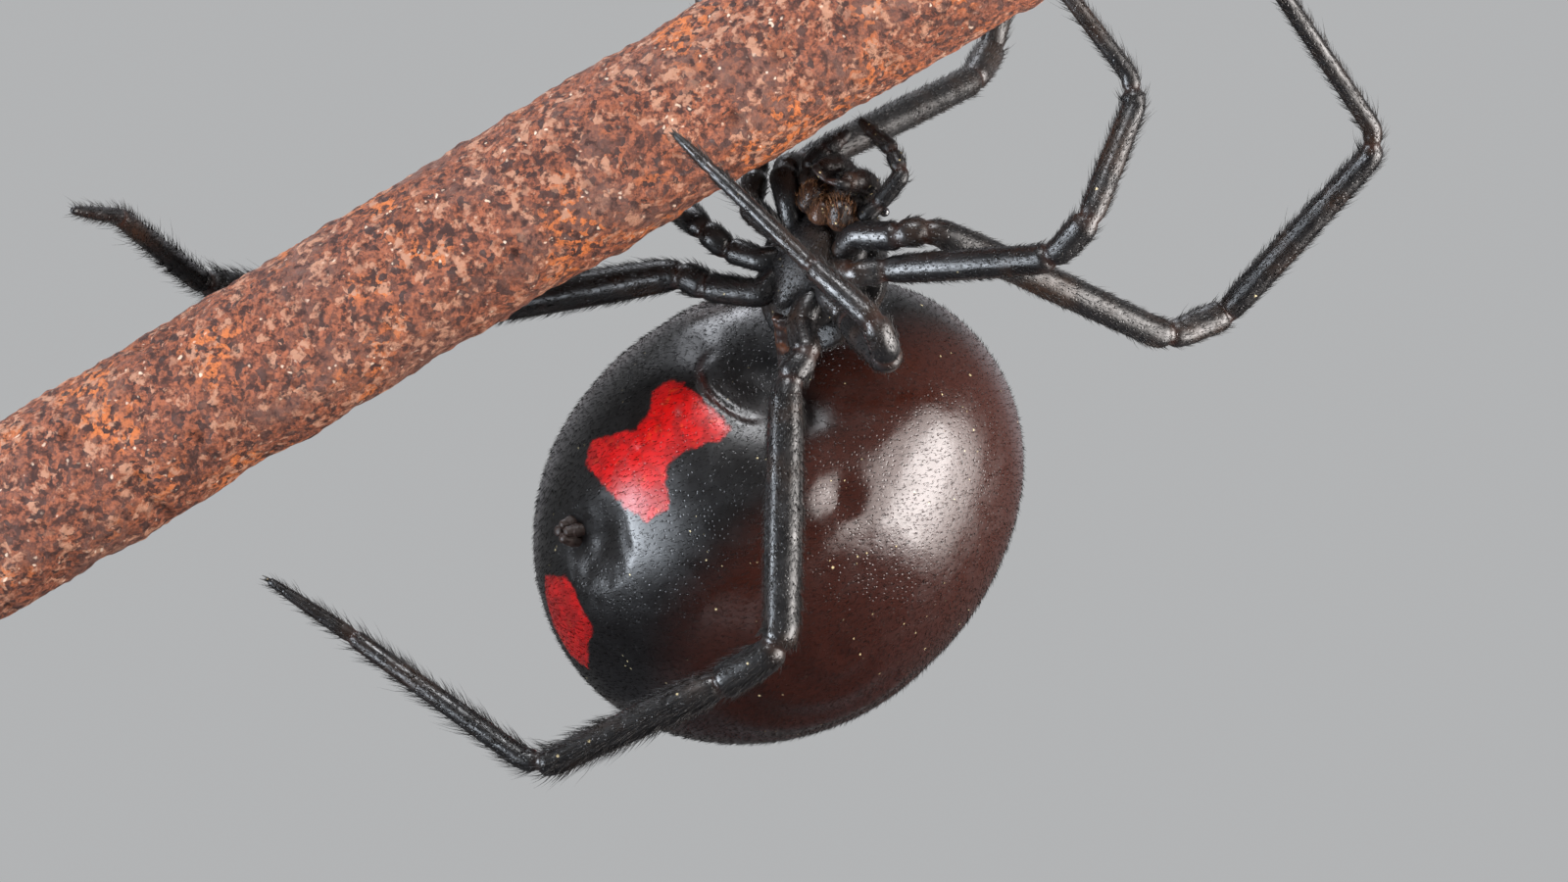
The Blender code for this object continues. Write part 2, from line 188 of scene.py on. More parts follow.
def head_point(forward: float, side: float, up: float) -> Array:
    """Return a place given in millimetres from the middle of the sternum along the head's axes."""
    return STERNUM_CENTRE + np.array((forward, side, up)) @ HEAD_AXES * MM


# Meshes
def deselect_all() -> None:
    """Leave nothing selected."""
    bpy.ops.object.select_all(action="DESELECT")


def active_piece(name: str) -> Object:
    """Name the object the last operator made.

    Args:
        name: Its new name.

    Returns:
        The object.
    """
    piece = bpy.context.object
    piece.name = name
    piece.data.name = name
    return piece


def points_of(piece: Object) -> Array:
    """Return the places of a mesh's vertices."""
    places = np.zeros(len(piece.data.vertices) * 3)
    piece.data.vertices.foreach_get("co", places)
    return places.reshape(-1, 3)


def move_points(piece: Object, places: Array) -> None:
    """Put a mesh's vertices at new places."""
    piece.data.vertices.foreach_set("co", places.ravel())
    piece.data.update()


def store(piece: Object, name: str, values: Array) -> None:
    """Keep one number for each vertex, for the materials to read."""
    attribute = piece.data.attributes.new(name, "FLOAT", "POINT")
    attribute.data.foreach_set("value", values.astype(np.float32))


def along_of(piece: Object) -> Array:
    """Return the distances along a wrapped tube that its vertices keep, in millimetres."""
    arcs = np.zeros(len(piece.data.vertices))
    piece.data.attributes["along"].data.foreach_get("value", arcs)
    return arcs


def weld(piece: Object) -> None:
    """Merge the doubles of a mesh.

    Args:
        piece: Mesh object.
    """
    deselect_all()
    piece.select_set(True)
    bpy.context.view_layer.objects.active = piece
    bpy.ops.object.mode_set(mode="EDIT")
    bpy.ops.mesh.select_all(action="SELECT")
    bpy.ops.mesh.remove_doubles(threshold=0.1 * MICRON)
    bpy.ops.object.mode_set(mode="OBJECT")


def join_pieces(parts: Sequence[Object], name: str) -> Object:
    """Join meshes into one piece.

    Args:
        parts: Two or more mesh objects.
        name: Name of the piece.

    Returns:
        The piece.
    """
    deselect_all()
    for part in parts:
        part.select_set(True)
    bpy.context.view_layer.objects.active = parts[0]
    bpy.ops.object.join()
    return active_piece(name)


def finish_piece(piece: Object, material: Material, nodes: Sequence[str] = ()) -> None:
    """Shade, dress and tie a finished piece to the model.

    Args:
        piece: Mesh object with its place in its vertices.
        material: Its finish.
        nodes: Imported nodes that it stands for.
    """
    piece.data.materials.clear()
    piece.data.materials.append(material)
    piece.data.shade_smooth()
    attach(piece, "root")
    if nodes:
        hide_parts(*nodes)
    log.info("%s: %d faces", piece.name, len(piece.data.polygons))


class Route:
    """A smooth middle line with a frame that doesn't twist along it."""

    def __init__(self, points: Array, step: float, soften: int = 0) -> None:
        """Space points evenly along a broken line and find the frames.

        Args:
            points: Corners of the line, one a row.
            step: Distance between the new points.
            soften: How many times each point moves towards its neighbours.
        """
        corners = along_line(points)
        even = np.linspace(0.0, corners[-1], max(3, math.ceil(corners[-1] / step)) + 1)
        line = np.stack([np.interp(even, corners, points[:, axis]) for axis in range(3)], axis=1)
        for _ in range(soften):
            line[1:-1] = (line[:-2] + 2.0 * line[1:-1] + line[2:]) / 4.0
        self.line = line
        self.arcs = along_line(line)
        self.length = self.arcs[-1]
        self.ahead = unit(np.gradient(line, axis=0))
        start = np.cross(self.ahead[0], (0.0, 1.0, 0.0))
        if np.linalg.norm(start) < 0.1:
            start = np.cross(self.ahead[0], (1.0, 0.0, 0.0))
        self.first = np.zeros_like(line)
        side = unit(start)
        for index, way in enumerate(self.ahead):
            side = unit(side - way * np.dot(side, way))
            self.first[index] = side
        self.second = np.cross(self.ahead, self.first)

    def at(self, rows: Array, arcs: Array) -> Array:
        """Return rows that are known at the line's points, at distances along it."""
        return np.stack([np.interp(arcs, self.arcs, rows[:, axis]) for axis in range(3)], axis=1)

    def outward(self, arcs: Array, angles: Array) -> Array:
        """Return the directions away from the middle line.

        Args:
            arcs: Distances along the line.
            angles: Angles around it.

        Returns:
            One direction a row.
        """
        first = unit(self.at(self.first, arcs))
        second = unit(self.at(self.second, arcs))
        return first * np.cos(angles)[:, None] + second * np.sin(angles)[:, None]

    def surface(self, arcs: Array, angles: Array, radii: Array) -> Array:
        """Return places at radii from the middle line."""
        return self.at(self.line, arcs) + self.outward(arcs, angles) * radii[:, None]

    def nearest(self, place: Array) -> float:
        """Return the distance along the line of its point nearest a place."""
        return float(self.arcs[np.argmin(np.linalg.norm(self.line - place, axis=1))])


def domed(arcs: Array, length: float, start: float, end: float) -> Array:
    """Return a factor that closes a tube with domes.

    Args:
        arcs: Distances along the tube.
        length: The tube's length.
        start: Depth of the dome at its start.
        end: Depth of the dome at its end.

    Returns:
        One factor for each distance, zero at both ends.
    """
    near = np.clip(1.0 - arcs / start, 0.0, 1.0)
    far = np.clip(1.0 - (length - arcs) / end, 0.0, 1.0)
    return np.sqrt(np.clip(1.0 - near**2, 0.0, 1.0)) * np.sqrt(np.clip(1.0 - far**2, 0.0, 1.0))


def turned_radius(length: float, profile: Profile, start: float, end: float) -> RadiusAt:
    """Return the radius of a round tube as a function of the place along it.

    Args:
        length: The tube's length.
        profile: Shares of the length, each with a radius in mm.
        start: Depth of the dome at its start, in mm.
        end: Depth of the dome at its end, in mm.

    Returns:
        A function of distances along the tube and angles around it.
    """
    shares, radii = zip(*profile)

    def radius_at(arcs: Array, _angles: Array) -> Array:
        """Return the radii at distances along the tube."""
        return np.interp(arcs / length, shares, radii) * MM * domed(arcs, length, start * MM, end * MM)

    return radius_at


def wrap_tube(name: str, route: Route, radius_at: RadiusAt, rings: int, sides: int) -> Object:
    """Wrap a grid around a route.

    Args:
        name: Name of the piece.
        route: Its middle line.
        radius_at: Returns radii for arrays of distances along it and angles around it. They are
            zero at both ends, so the ends close.
        rings: Faces along it.
        sides: Faces around it.

    Returns:
        The closed tube, with a map along and around it and its distances as an attribute.
    """
    deselect_all()
    bpy.ops.mesh.primitive_grid_add(x_subdivisions=rings, y_subdivisions=sides, size=2.0)
    piece = active_piece(name)
    flat = points_of(piece)
    arcs = (flat[:, 0] + 1.0) / 2.0 * route.length
    angles = -(flat[:, 1] + 1.0) * math.pi
    move_points(piece, route.surface(arcs, angles, radius_at(arcs, angles)))
    store(piece, "along", arcs / MM)
    weld(piece)
    return piece


def ball_piece(name: str, place: PlaceAt, rings: int, segments: int) -> tuple[Object, Array]:
    """Model a skin from a fine ball whose poles lie fore and aft.

    Args:
        name: Name of the piece.
        place: Turns unit directions (forward, left, up) into places.
        rings: Faces from pole to pole.
        segments: Faces around.

    Returns:
        The closed skin, and the unit directions of its vertices.
    """
    deselect_all()
    bpy.ops.mesh.primitive_uv_sphere_add(segments=segments, ring_count=rings, radius=1.0)
    piece = active_piece(name)
    ball = unit(points_of(piece))
    ways = np.stack((ball[:, 2], ball[:, 0], ball[:, 1]), axis=1)
    move_points(piece, place(ways))
    return piece, ways


def ball_normal(place: PlaceAt, ways: Array) -> Array:
    """Return the outward directions of such a skin.

    Args:
        place: Turns unit directions into places.
        ways: Unit directions.

    Returns:
        One direction a row.
    """
    step = 0.01
    one = across(ways, (0.0, 1.0, 0.0))
    two = np.cross(ways, one)
    here = place(ways)
    return unit(np.cross(place(unit(ways + one * step)) - here, place(unit(ways + two * step)) - here))


def even_ways(count: int, jitter: float, random: np.random.Generator) -> Array:
    """Return unit directions spread evenly over a ball.

    Args:
        count: How many.
        jitter: How far each is out of line.
        random: Source of that.

    Returns:
        One direction a row.
    """
    index = np.arange(count) + 0.5
    turn = math.pi * (1.0 + math.sqrt(5.0)) * index
    level = 1.0 - 2.0 * index / count
    wide = np.sqrt(1.0 - level**2)
    ways = np.stack((level, wide * np.cos(turn), wide * np.sin(turn)), axis=1)
    return unit(ways + random.normal(0.0, jitter, ways.shape))


def ball_patches(ways: Array) -> Array:
    """Return where directions lie on the ball's unwrap."""
    around = np.arctan2(ways[:, 1], ways[:, 2]) / FULL_TURN + 0.5
    return into_map(np.stack((around, np.arccos(ways[:, 0]) / math.pi), axis=1))


def outside(points: Array, corners: Array) -> Array:
    """Return how far points lie from a closed outline.

    Args:
        points: Flat places, one a row.
        corners: Corners of the outline, one a row.

    Returns:
        One distance for each point, less than zero inside the outline.
    """
    best = np.full(len(points), np.inf)
    inside = np.zeros(len(points), bool)
    for start, end in zip(corners, np.roll(corners, -1, axis=0)):
        edge = end - start
        part = np.clip(((points - start) @ edge) / (edge @ edge), 0.0, 1.0)
        best = np.minimum(best, np.linalg.norm(points - start - part[:, None] * edge, axis=1))
        crosses = (points[:, 1] < start[1]) != (points[:, 1] < end[1])
        slope = edge[0] / edge[1] if edge[1] else 0.0
        inside ^= crosses & (points[:, 0] < start[0] + (points[:, 1] - start[1]) * slope)
    return np.where(inside, -best, best)


# A hair's corners are three at the root, three half way and the tip
HAIR_CORNERS = 7
HAIR_FACES = np.array((
    (2, 1, 0), (0, 1, 4), (0, 4, 3), (1, 2, 5), (1, 5, 4),
    (2, 0, 3), (2, 3, 5), (3, 4, 6), (4, 5, 6), (5, 3, 6),
))


@dataclass
class Coat:
    """Hairs as closed, bent, three-sided cones, joined into one mesh.

    Roots are places, ways the hairs' directions, droop the directions that they bend to, and patches
    the places of the roots on the map. Marks are numbers that each hair keeps for its material.
    """

    roots: Array
    ways: Array
    droop: Array
    lengths: Array
    patches: Array
    root_radius: float
    marks: dict[str, Array] = field(default_factory=dict)
    patch_radius: float = 0.0014
    half_way_width: float = 0.62
    half_way_bend: float = 0.06
    tip_reach: float = 0.94
    tip_bend: float = 0.34

    def build(self, name: str) -> Object:
        """Join the hairs, each mapped to a small patch at its root's place.

        Args:
            name: Name of the piece.

        Returns:
            The piece.
        """
        count = len(self.roots)
        side = across(self.ways, (1.0, 0.0, 0.0))
        other = np.cross(self.ways, side)
        turn = np.random.default_rng(count).uniform(0.0, FULL_TURN, count)
        long = self.lengths[:, None]
        middle = self.roots + self.ways * long * 0.5 + self.droop * long * self.half_way_bend
        places = np.zeros((count, HAIR_CORNERS, 3))
        patches = np.zeros((count, HAIR_CORNERS, 2))
        for corner in range(3):
            angle = turn + corner * FULL_TURN / 3.0
            out = side * np.cos(angle)[:, None] + other * np.sin(angle)[:, None]
            spot = np.stack((np.cos(angle), np.sin(angle)), axis=1)
            places[:, corner] = self.roots + out * self.root_radius
            places[:, 3 + corner] = middle + out * self.root_radius * self.half_way_width
            patches[:, corner] = self.patches + spot * self.patch_radius
            patches[:, 3 + corner] = self.patches + spot * self.patch_radius * 0.5
        places[:, -1] = self.roots + self.ways * long * self.tip_reach + self.droop * long * self.tip_bend
        patches[:, -1] = self.patches
        corners = (HAIR_FACES[None] + np.arange(count)[:, None, None] * HAIR_CORNERS).reshape(-1, 3)
        mesh = bpy.data.meshes.new(name)
        mesh.vertices.add(count * HAIR_CORNERS)
        mesh.vertices.foreach_set("co", places.ravel())
        mesh.loops.add(corners.size)
        mesh.loops.foreach_set("vertex_index", corners.ravel())
        mesh.polygons.add(len(corners))
        mesh.polygons.foreach_set("loop_start", np.arange(len(corners)) * 3)
        mesh.polygons.foreach_set("loop_total", np.full(len(corners), 3))
        mesh.update(calc_edges=True)
        layer = mesh.uv_layers.new(name=COAT_MAP)
        layer.data.foreach_set("uv", patches.reshape(-1, 2)[corners.ravel()].ravel())
        piece = bpy.data.objects.new(name, mesh)
        bpy.context.scene.collection.objects.link(piece)
        for mark, values in self.marks.items():
            store(piece, mark, np.repeat(values, HAIR_CORNERS))
        return piece


@dataclass(frozen=True)
class TubeCoat:
    """How hairs grow on a tube, leaning towards its far end.

    The lean is the least and most angle between hair and skin, in degrees. Bristles are the share of
    the hairs that are nearly twice as long.
    """

    per_mm2: float
    lean: tuple[float, float]
    seed: int
    bristles: float = 0.0
    bristle_length: float = 1.9
    root_radius: float = 0.0062 * MM
    root_depth: float = 0.008 * MM
    stray: float = 0.10

    def grow(
        self, route: Route, radius_at: RadiusAt, length_at: PlaceAt, bare: PlaceAt | None = None
    ) -> Coat:
        """Spread the hairs over a tube.

        Args:
            route: Middle line of the tube.
            radius_at: Radius of its skin.
            length_at: Returns a hair's length at distances along the route.
            bare: Returns True where no hair stands.

        Returns:
            The hairs.
        """
        random = np.random.default_rng(self.seed)
        widest = float(np.max(radius_at(route.arcs, np.zeros(len(route.arcs)))))
        tries = int(route.length * FULL_TURN * widest / MM**2 * self.per_mm2)
        arcs = random.uniform(0.01, 0.995, tries) * route.length
        angles = random.uniform(0.0, FULL_TURN, tries)
        wide = radius_at(arcs, angles)
        keep = random.uniform(0.0, widest, tries) < wide
        if bare is not None:
            keep &= ~bare(arcs)
        arcs, angles, wide = arcs[keep], angles[keep], wide[keep]
        count = len(arcs)
        ahead = unit(route.at(route.ahead, arcs))
        lean = np.radians(random.uniform(*self.lean, count))[:, None]
        ways = route.outward(arcs, angles) * np.sin(lean) + ahead * np.cos(lean)
        ways = unit(ways + random.normal(0.0, self.stray, ways.shape))
        lengths = length_at(arcs) * random.uniform(*HAIR_VARIES, count)
        lengths *= np.where(random.random(count) < self.bristles, self.bristle_length, 1.0)
        return Coat(
            roots=route.surface(arcs, angles, wide - self.root_depth),
            ways=ways,
            droop=ahead,
            lengths=lengths,
            patches=into_map(np.stack((arcs / route.length, angles / FULL_TURN), axis=1)),
            root_radius=self.root_radius,
        )


# Materials
def colour(red: float, green: float, blue: float) -> Colour:
    """Return a solid linear colour."""
    return (red, green, blue, 1.0)


def times_as_bright(tone: Colour, factor: float) -> Colour:
    """Return a colour made brighter or darker."""
    return colour(*(part * factor for part in tone[:3]))


class Nodes:
    """Short ways to add nodes to a tree. Patterns are given in cells or waves a metre."""

    def __init__(self, tree: bpy.types.NodeTree, coordinates: str) -> None:
        """Start with the coordinates that the patterns read."""
        self.tree = tree
        self.places = tree.nodes.new("ShaderNodeTexCoord").outputs[coordinates]

    def feed(self, socket: Socket, value: Value) -> None:
        """Link a socket to a node, or set its value."""
        if isinstance(value, Socket):
            self.tree.links.new(value, socket)
        else:
            socket.default_value = value

    def fill(self, node: bpy.types.Node, **values: Value) -> None:
        """Set or link a node's sockets, named with underscores for spaces."""
        for name, value in values.items():
            self.feed(node.inputs[name.replace("_", " ")], value)

    def add(self, kind: str, **values: Value) -> bpy.types.Node:
        """Add a node of one kind and fill its sockets.

        Args:
            kind: Blender's name of the kind.
            values: Its sockets by name, with underscores for spaces.

        Returns:
            The node.
        """
        node = self.tree.nodes.new(kind)
        self.fill(node, **values)
        return node

    def mark(self, name: str) -> Socket:
        """Read a number that the mesh keeps under a name."""
        node = self.tree.nodes.new("ShaderNodeAttribute")
        node.attribute_name = name
        return node.outputs["Fac"]

    def noise(self, per_metre: float, detail: float = 3.0, roughness: float = 0.5) -> Socket:
        """Add a noise texture.

        Args:
            per_metre: Waves of the noise.
            detail: How many finer layers it has.
            roughness: How strong they are.

        Returns:
            Its value.
        """
        node = self.add(
            "ShaderNodeTexNoise", Vector=self.places, Scale=per_metre, Detail=detail, Roughness=roughness
        )
        return node.outputs["Fac"]

    def warped(self, per_metre: float, distance: float) -> Socket:
        """Return places pushed about by noise, so that cells lose their straight edges.

        Args:
            per_metre: Waves of the noise.
            distance: How far it pushes.

        Returns:
            The places.
        """
        noise = self.add("ShaderNodeTexNoise", Vector=self.places, Scale=per_metre)
        shift = self.tree.nodes.new("ShaderNodeVectorMath")
        shift.operation = "MULTIPLY_ADD"
        for socket, value in zip(shift.inputs, (noise.outputs["Color"], (distance,) * 3, self.places)):
            self.feed(socket, value)
        return shift.outputs[0]

    def cells(self, per_metre: float, places: Value | None = None, output: str = "Distance",
              randomness: float = 1.0) -> Socket:
        """Add a Voronoi texture.

        Args:
            per_metre: Cells of the pattern.
            places: Where it is read, or None for the object's own places.
            output: Name of the output.
            randomness: How uneven the cells are.

        Returns:
            That output.
        """
        where = places or self.places
        node = self.add("ShaderNodeTexVoronoi", Vector=where, Scale=per_metre, Randomness=randomness)
        return node.outputs[output]

    def reckon(self, operation: str, first: Value, second: Value = 0.0) -> Socket:
        """Add a Math node.

        Args:
            operation: Blender's name of the sum.
            first: Its first value.
            second: Its second value, where it has one.

        Returns:
            The result.
        """
        node = self.tree.nodes.new("ShaderNodeMath")
        node.operation = operation
        self.feed(node.inputs[0], first)
        self.feed(node.inputs[1], second)
        return node.outputs[0]

    def plus(self, first: Value, second: Value) -> Socket:
        """Add two values."""
        return self.reckon("ADD", first, second)

    def times(self, first: Value, second: Value) -> Socket:
        """Multiply two values."""
        return self.reckon("MULTIPLY", first, second)

    def ease(self, value: Value, low: float, high: float, start: float = 0.0, end: float = 1.0) -> Socket:
        """Map a value smoothly.

        Args:
            value: What is mapped.
            low: Value that becomes the start.
            high: Value that becomes the end, also where it is less than low.
            start: Result at low and beyond it.
            end: Result at high and beyond it.

        Returns:
            The result.
        """
        limits = {"From_Min": low, "From_Max": high, "To_Min": start, "To_Max": end}
        node = self.add("ShaderNodeMapRange", Value=value, **limits)
        node.interpolation_type = "SMOOTHSTEP"
        return node.outputs["Result"]

    def blend(self, share: Value, first: Value, second: Value) -> Socket:
        """Mix two colours.

        Args:
            share: Share of the second.
            first: Colour at share 0.
            second: Colour at share 1.

        Returns:
            The mixed colour.
        """
        node = self.tree.nodes.new("ShaderNodeMix")
        node.data_type = "RGBA"
        self.feed(node.inputs["Factor"], share)
        self.feed(node.inputs[6], first)
        self.feed(node.inputs[7], second)
        return node.outputs[2]

    def raise_by(self, height: Value, distance: float, under: Value | None = None) -> Socket:
        """Add a Bump node.

        Args:
            height: Pattern of the relief.
            distance: How far the pattern's 1 rises.
            under: Relief below it.

        Returns:
            The normal.
        """
        node = self.add("ShaderNodeBump", Strength=1.0, Distance=distance, Height=height)
        if under is not None:
            self.feed(node.inputs["Normal"], under)
        return node.outputs["Normal"]

    def end_with(self, output: str, share: Value, first: Socket, second: Socket) -> None:
        """Mix two shaders and show the result.

        Args:
            output: Name of the tree's output node.
            share: Share of the second shader.
            first: Shader at share 0.
            second: Shader at share 1.
        """
        mix = self.add("ShaderNodeMixShader", Fac=share)
        self.feed(mix.inputs[1], first)
        self.feed(mix.inputs[2], second)
        self.fill(self.tree.nodes[output], Surface=mix.outputs["Shader"])


class Finish(Nodes):
    """One material, whose patterns read the object's own places."""

    def __init__(self, name: str) -> None:
        """Start a Principled material."""
        self.material = bpy.data.materials.new(name)
        self.material.use_nodes = True
        super().__init__(self.material.node_tree, "Object")
        self.shader = self.tree.nodes["Principled BSDF"]

    def settings(self, **values: Value) -> Material:
        """Set or link the shader's sockets, named with underscores for spaces, and return the material."""
        self.fill(self.shader, **values)
        return self.material


@dataclass(frozen=True)
class Specks:
    """Specks, one in each cell, kept only in patches. Each edge runs from none to full."""

    per_metre: float
    edge: tuple[float, float]
    patches_per_metre: float
    patch_edge: tuple[float, float]
    patch_detail: float = 1.0
    ragged: bool = False

    def share(self, finish: Finish) -> Socket:
        """Return 1 on the specks and 0 beside them."""
        places = finish.warped(9000.0, 60.0 * MICRON) if self.ragged else None
        specks = finish.ease(finish.cells(self.per_metre, places), *self.edge)
        patches = finish.ease(finish.noise(self.patches_per_metre, self.patch_detail), *self.patch_edge)
        return finish.times(specks, patches)


@dataclass(frozen=True)
class DustAndSparkle:
    """Pale dust of two sizes. On the head's shells the fine specks are also painted sparkle that stands for
    glints on bristle tips.
    """

    coarse: Specks
    fine: Specks
    tone: Colour

    def over(self, finish: Finish, base: Value, fine_share: float) -> Socket:
        """Lay the specks over a colour: dust, and on the head's shells also painted sparkle.

        Args:
            finish: The material.
            base: The colour below.
            fine_share: Strength of the fine specks.

        Returns:
            The speckled colour.
        """
        fine = finish.times(self.fine.share(finish), fine_share)
        return finish.blend(finish.reckon("MAXIMUM", self.coarse.share(finish), fine), base, self.tone)


# Pale specks on the shells: real dust, and where the fine specks are strong, on the head, also painted
# sparkle for glints of bristle tips
SHELL_DUST_AND_SPARKLE = DustAndSparkle(
    coarse=Specks(2300.0, (0.085, 0.05), 1500.0, (0.56, 0.64)),
    fine=Specks(5600.0, (0.17, 0.09), 2100.0, (0.50, 0.60), 2.0, True),
    tone=colour(0.55, 0.45, 0.25),
)
SKIN_DUST = DustAndSparkle(
    coarse=Specks(1500.0, (0.06, 0.03), 900.0, (0.48, 0.56)),
    fine=Specks(4200.0, (0.11, 0.06), 1100.0, (0.55, 0.62), 3.0, True),
    tone=colour(0.6, 0.5, 0.28),
)


@dataclass(frozen=True)
class ShellFinish:
    """Black, hairy armour of the legs, head and feelers. The gloss is its index of refraction. Its fine pale
    specks are partly dust and partly painted sparkle, glints of bristle tips painted into the colour.
    """

    name: str
    dark: Colour = colour(0.0040, 0.0036, 0.0038)
    warm: Colour = colour(0.013, 0.007, 0.0045)
    fold: Colour = colour(0.020, 0.007, 0.004)
    roughness: float = 0.31
    grain: float = 1.7
    gloss: float = 1.45
    # Strength of the fine pale specks, partly dust and partly painted sparkle
    fine_dust_and_sparkle: float = 0.0

    def make(self) -> Material:
        """Return the material, browner in the folds that the mesh marks."""
        finish = Finish(self.name)
        tone = finish.blend(finish.ease(finish.noise(900.0), 0.45, 0.7), self.dark, self.warm)
        base = finish.blend(finish.times(finish.mark("fold"), finish.noise(1400.0)), tone, self.fold)
        hair_sockets = finish.ease(finish.cells(12000.0), 0.08, 0.34)
        bumps = finish.raise_by(hair_sockets, 4.5 * MICRON * self.grain)
        for per_metre, detail, height in ((16000.0, 2.0, 2.5), (2600.0, 3.0, 10.0)):
            bumps = finish.raise_by(finish.noise(per_metre, detail), height * MICRON * self.grain, bumps)
        smooth, rough = self.roughness - 0.05, self.roughness + 0.1
        return finish.settings(
            Base_Color=SHELL_DUST_AND_SPARKLE.over(finish, base, self.fine_dust_and_sparkle),
            Roughness=finish.ease(finish.noise(2500.0), 0.3, 0.7, smooth, rough),
            Normal=bumps,
            IOR=self.gloss,
        )


@dataclass(frozen=True)
class AbdomenFinish:
    """Glossy skin, black on the belly and maroon on the flanks, with the two red marks."""

    black: Colour = colour(0.0012, 0.0007, 0.0007)
    maroon: Colour = colour(0.020, 0.0048, 0.0028)
    red: Colour = colour(0.37, 0.0006, 0.0009)
    orange: Colour = colour(0.44, 0.05, 0.006)
    vein: Colour = colour(0.10, 0.001, 0.001)
    pit: Colour = colour(0.060, 0.010, 0.006)
    pore: Colour = colour(0.001, 0.0006, 0.0006)
    belly_roughness: float = 0.34
    flank_roughness: float = 0.22

    def skin_colour(self, finish: Finish) -> Socket:
        """Return the markings' colour from the numbers that the mesh keeps."""
        ragged = finish.times(finish.reckon("SUBTRACT", finish.noise(5500.0, 4.0, 0.6), 0.5), 0.26)
        uneven = finish.times(finish.reckon("SUBTRACT", finish.noise(700.0, 4.0), 0.5), 0.5)
        flank = finish.ease(finish.plus(finish.mark("flank"), uneven), 0.05, 0.95)
        ground = finish.blend(flank, self.black, self.maroon)
        ground = finish.blend(finish.times(finish.mark("pit"), finish.noise(2500.0)), ground, self.pit)
        mark = finish.ease(finish.plus(finish.mark("red_mark"), ragged), 0.05, -0.05)
        specks = finish.times(finish.ease(finish.noise(5200.0, 2.0), 0.60, 0.72), 0.40)
        veins = finish.ease(finish.cells(3300.0, finish.warped(6000.0, 120.0 * MICRON)), 0.42, 0.62)
        red = finish.blend(specks, self.red, self.orange)
        red = finish.blend(finish.times(veins, 0.45), red, self.vein)
        return finish.blend(mark, ground, red)

    def make(self) -> Material:
        """Return the skin's material."""
        finish = Finish("abdomen_skin")
        pores = finish.ease(finish.cells(10500.0, randomness=0.8), 0.30, 0.12)
        base = finish.blend(finish.times(pores, 0.45), self.skin_colour(finish), self.pore)
        bumps = finish.raise_by(pores, -4.0 * MICRON)
        for per_metre, height in ((9000.0, 3.0), (1500.0, 10.0)):
            bumps = finish.raise_by(finish.noise(per_metre), height * MICRON, bumps)
        wander = finish.ease(finish.noise(2200.0, 4.0), 0.3, 0.75, -0.05, 0.07)
        even = finish.ease(finish.mark("flank"), 0.0, 0.8, self.belly_roughness, self.flank_roughness)
        downy = finish.times(finish.mark("downy"), 0.07)
        return finish.settings(
            Base_Color=SKIN_DUST.over(finish, base, 0.8),
            Roughness=finish.plus(finish.plus(even, downy), wander),
            Normal=bumps,
            IOR=1.46,
        )


@dataclass(frozen=True)
class HairFinish:
    """Dark, fairly glossy hair. Over the abdomen's red marks it is dark red."""

    name: str
    tone: Colour = colour(0.0045, 0.0036, 0.0032)
    roughness: float = 0.45
    gloss: float = 1.4
    over_red: bool = False
    red: Colour = colour(0.07, 0.001, 0.001)

    def make(self) -> Material:
        """Return the material."""
        finish = Finish(self.name)
        tone = finish.blend(finish.noise(1200.0), self.tone, times_as_bright(self.tone, 2.6))
        if self.over_red:
            tone = finish.blend(finish.ease(finish.mark("red_mark"), 0.03, -0.03), tone, self.red)
        return finish.settings(Base_Color=tone, Roughness=self.roughness, IOR=self.gloss)


@dataclass(frozen=True)
class BarkFinish:
    """Reddish brown, granular bark with pale specks that are painted glints, and pale wood where the twig was
    cut.
    """

    shade: Colour = colour(0.070, 0.018, 0.009)
    brown: Colour = colour(0.27, 0.080, 0.035)
    dark: Colour = colour(0.030, 0.009, 0.006)
    grey: Colour = colour(0.11, 0.048, 0.034)
    pink: Colour = colour(0.34, 0.165, 0.10)
    orange: Colour = colour(0.44, 0.12, 0.028)
    # Colour of the painted glints: pale specks that stand for highlights on the bark
    pale: Colour = colour(0.60, 0.46, 0.35)
    wood: Colour = colour(0.50, 0.34, 0.19)

    def make(self) -> Material:
        """Return the material, with each tone laid over the ones before it."""
        finish = Finish("bark")
        places = finish.warped(5200.0, 220.0 * MICRON)
        grain = finish.cells(8200.0, places, "Color")
        flakes = finish.cells(4600.0, places, "Color")
        grit = finish.noise(5200.0, 6.0, 0.65)
        fine = finish.noise(11000.0, 5.0, 0.7)
        patches = finish.times(finish.ease(finish.noise(380.0, 4.0, 0.6), 0.50, 0.62), 0.7)
        warm = finish.times(finish.ease(finish.noise(620.0), 0.50, 0.62), finish.ease(grain, 0.52, 0.64))
        warm = finish.times(warm, finish.ease(fine, 0.30, 0.55))
        rosy = finish.times(finish.ease(flakes, 0.60, 0.72), finish.ease(grit, 0.44, 0.58))
        # Painted glints: pale specks, kept in patches, that stand for highlights on the bark's grain
        painted_glints = finish.ease(finish.cells(5200.0, places), 0.24, 0.10)
        painted_glints = finish.times(painted_glints, finish.ease(finish.noise(1900.0, 2.0), 0.50, 0.64))
        tone = finish.blend(finish.ease(fine, 0.36, 0.64), self.shade, self.brown)
        tone = finish.blend(finish.ease(grain, 0.16, 0.52), self.dark, tone)
        layers = (
            (patches, self.grey),
            (warm, self.orange),
            (rosy, self.pink),
            (finish.ease(grit, 0.46, 0.36), self.dark),
            (painted_glints, self.pale),
            (finish.mark("cut"), self.wood),
        )
        for share, layer in layers:
            tone = finish.blend(share, tone, layer)
        bumps = finish.raise_by(grain, 30.0 * MICRON, finish.raise_by(grit, 140.0 * MICRON))
        roughness = finish.ease(grit, 0.4, 0.65, 0.75, 0.42)
        return finish.settings(Base_Color=tone, Roughness=roughness, Normal=bumps, IOR=1.38)


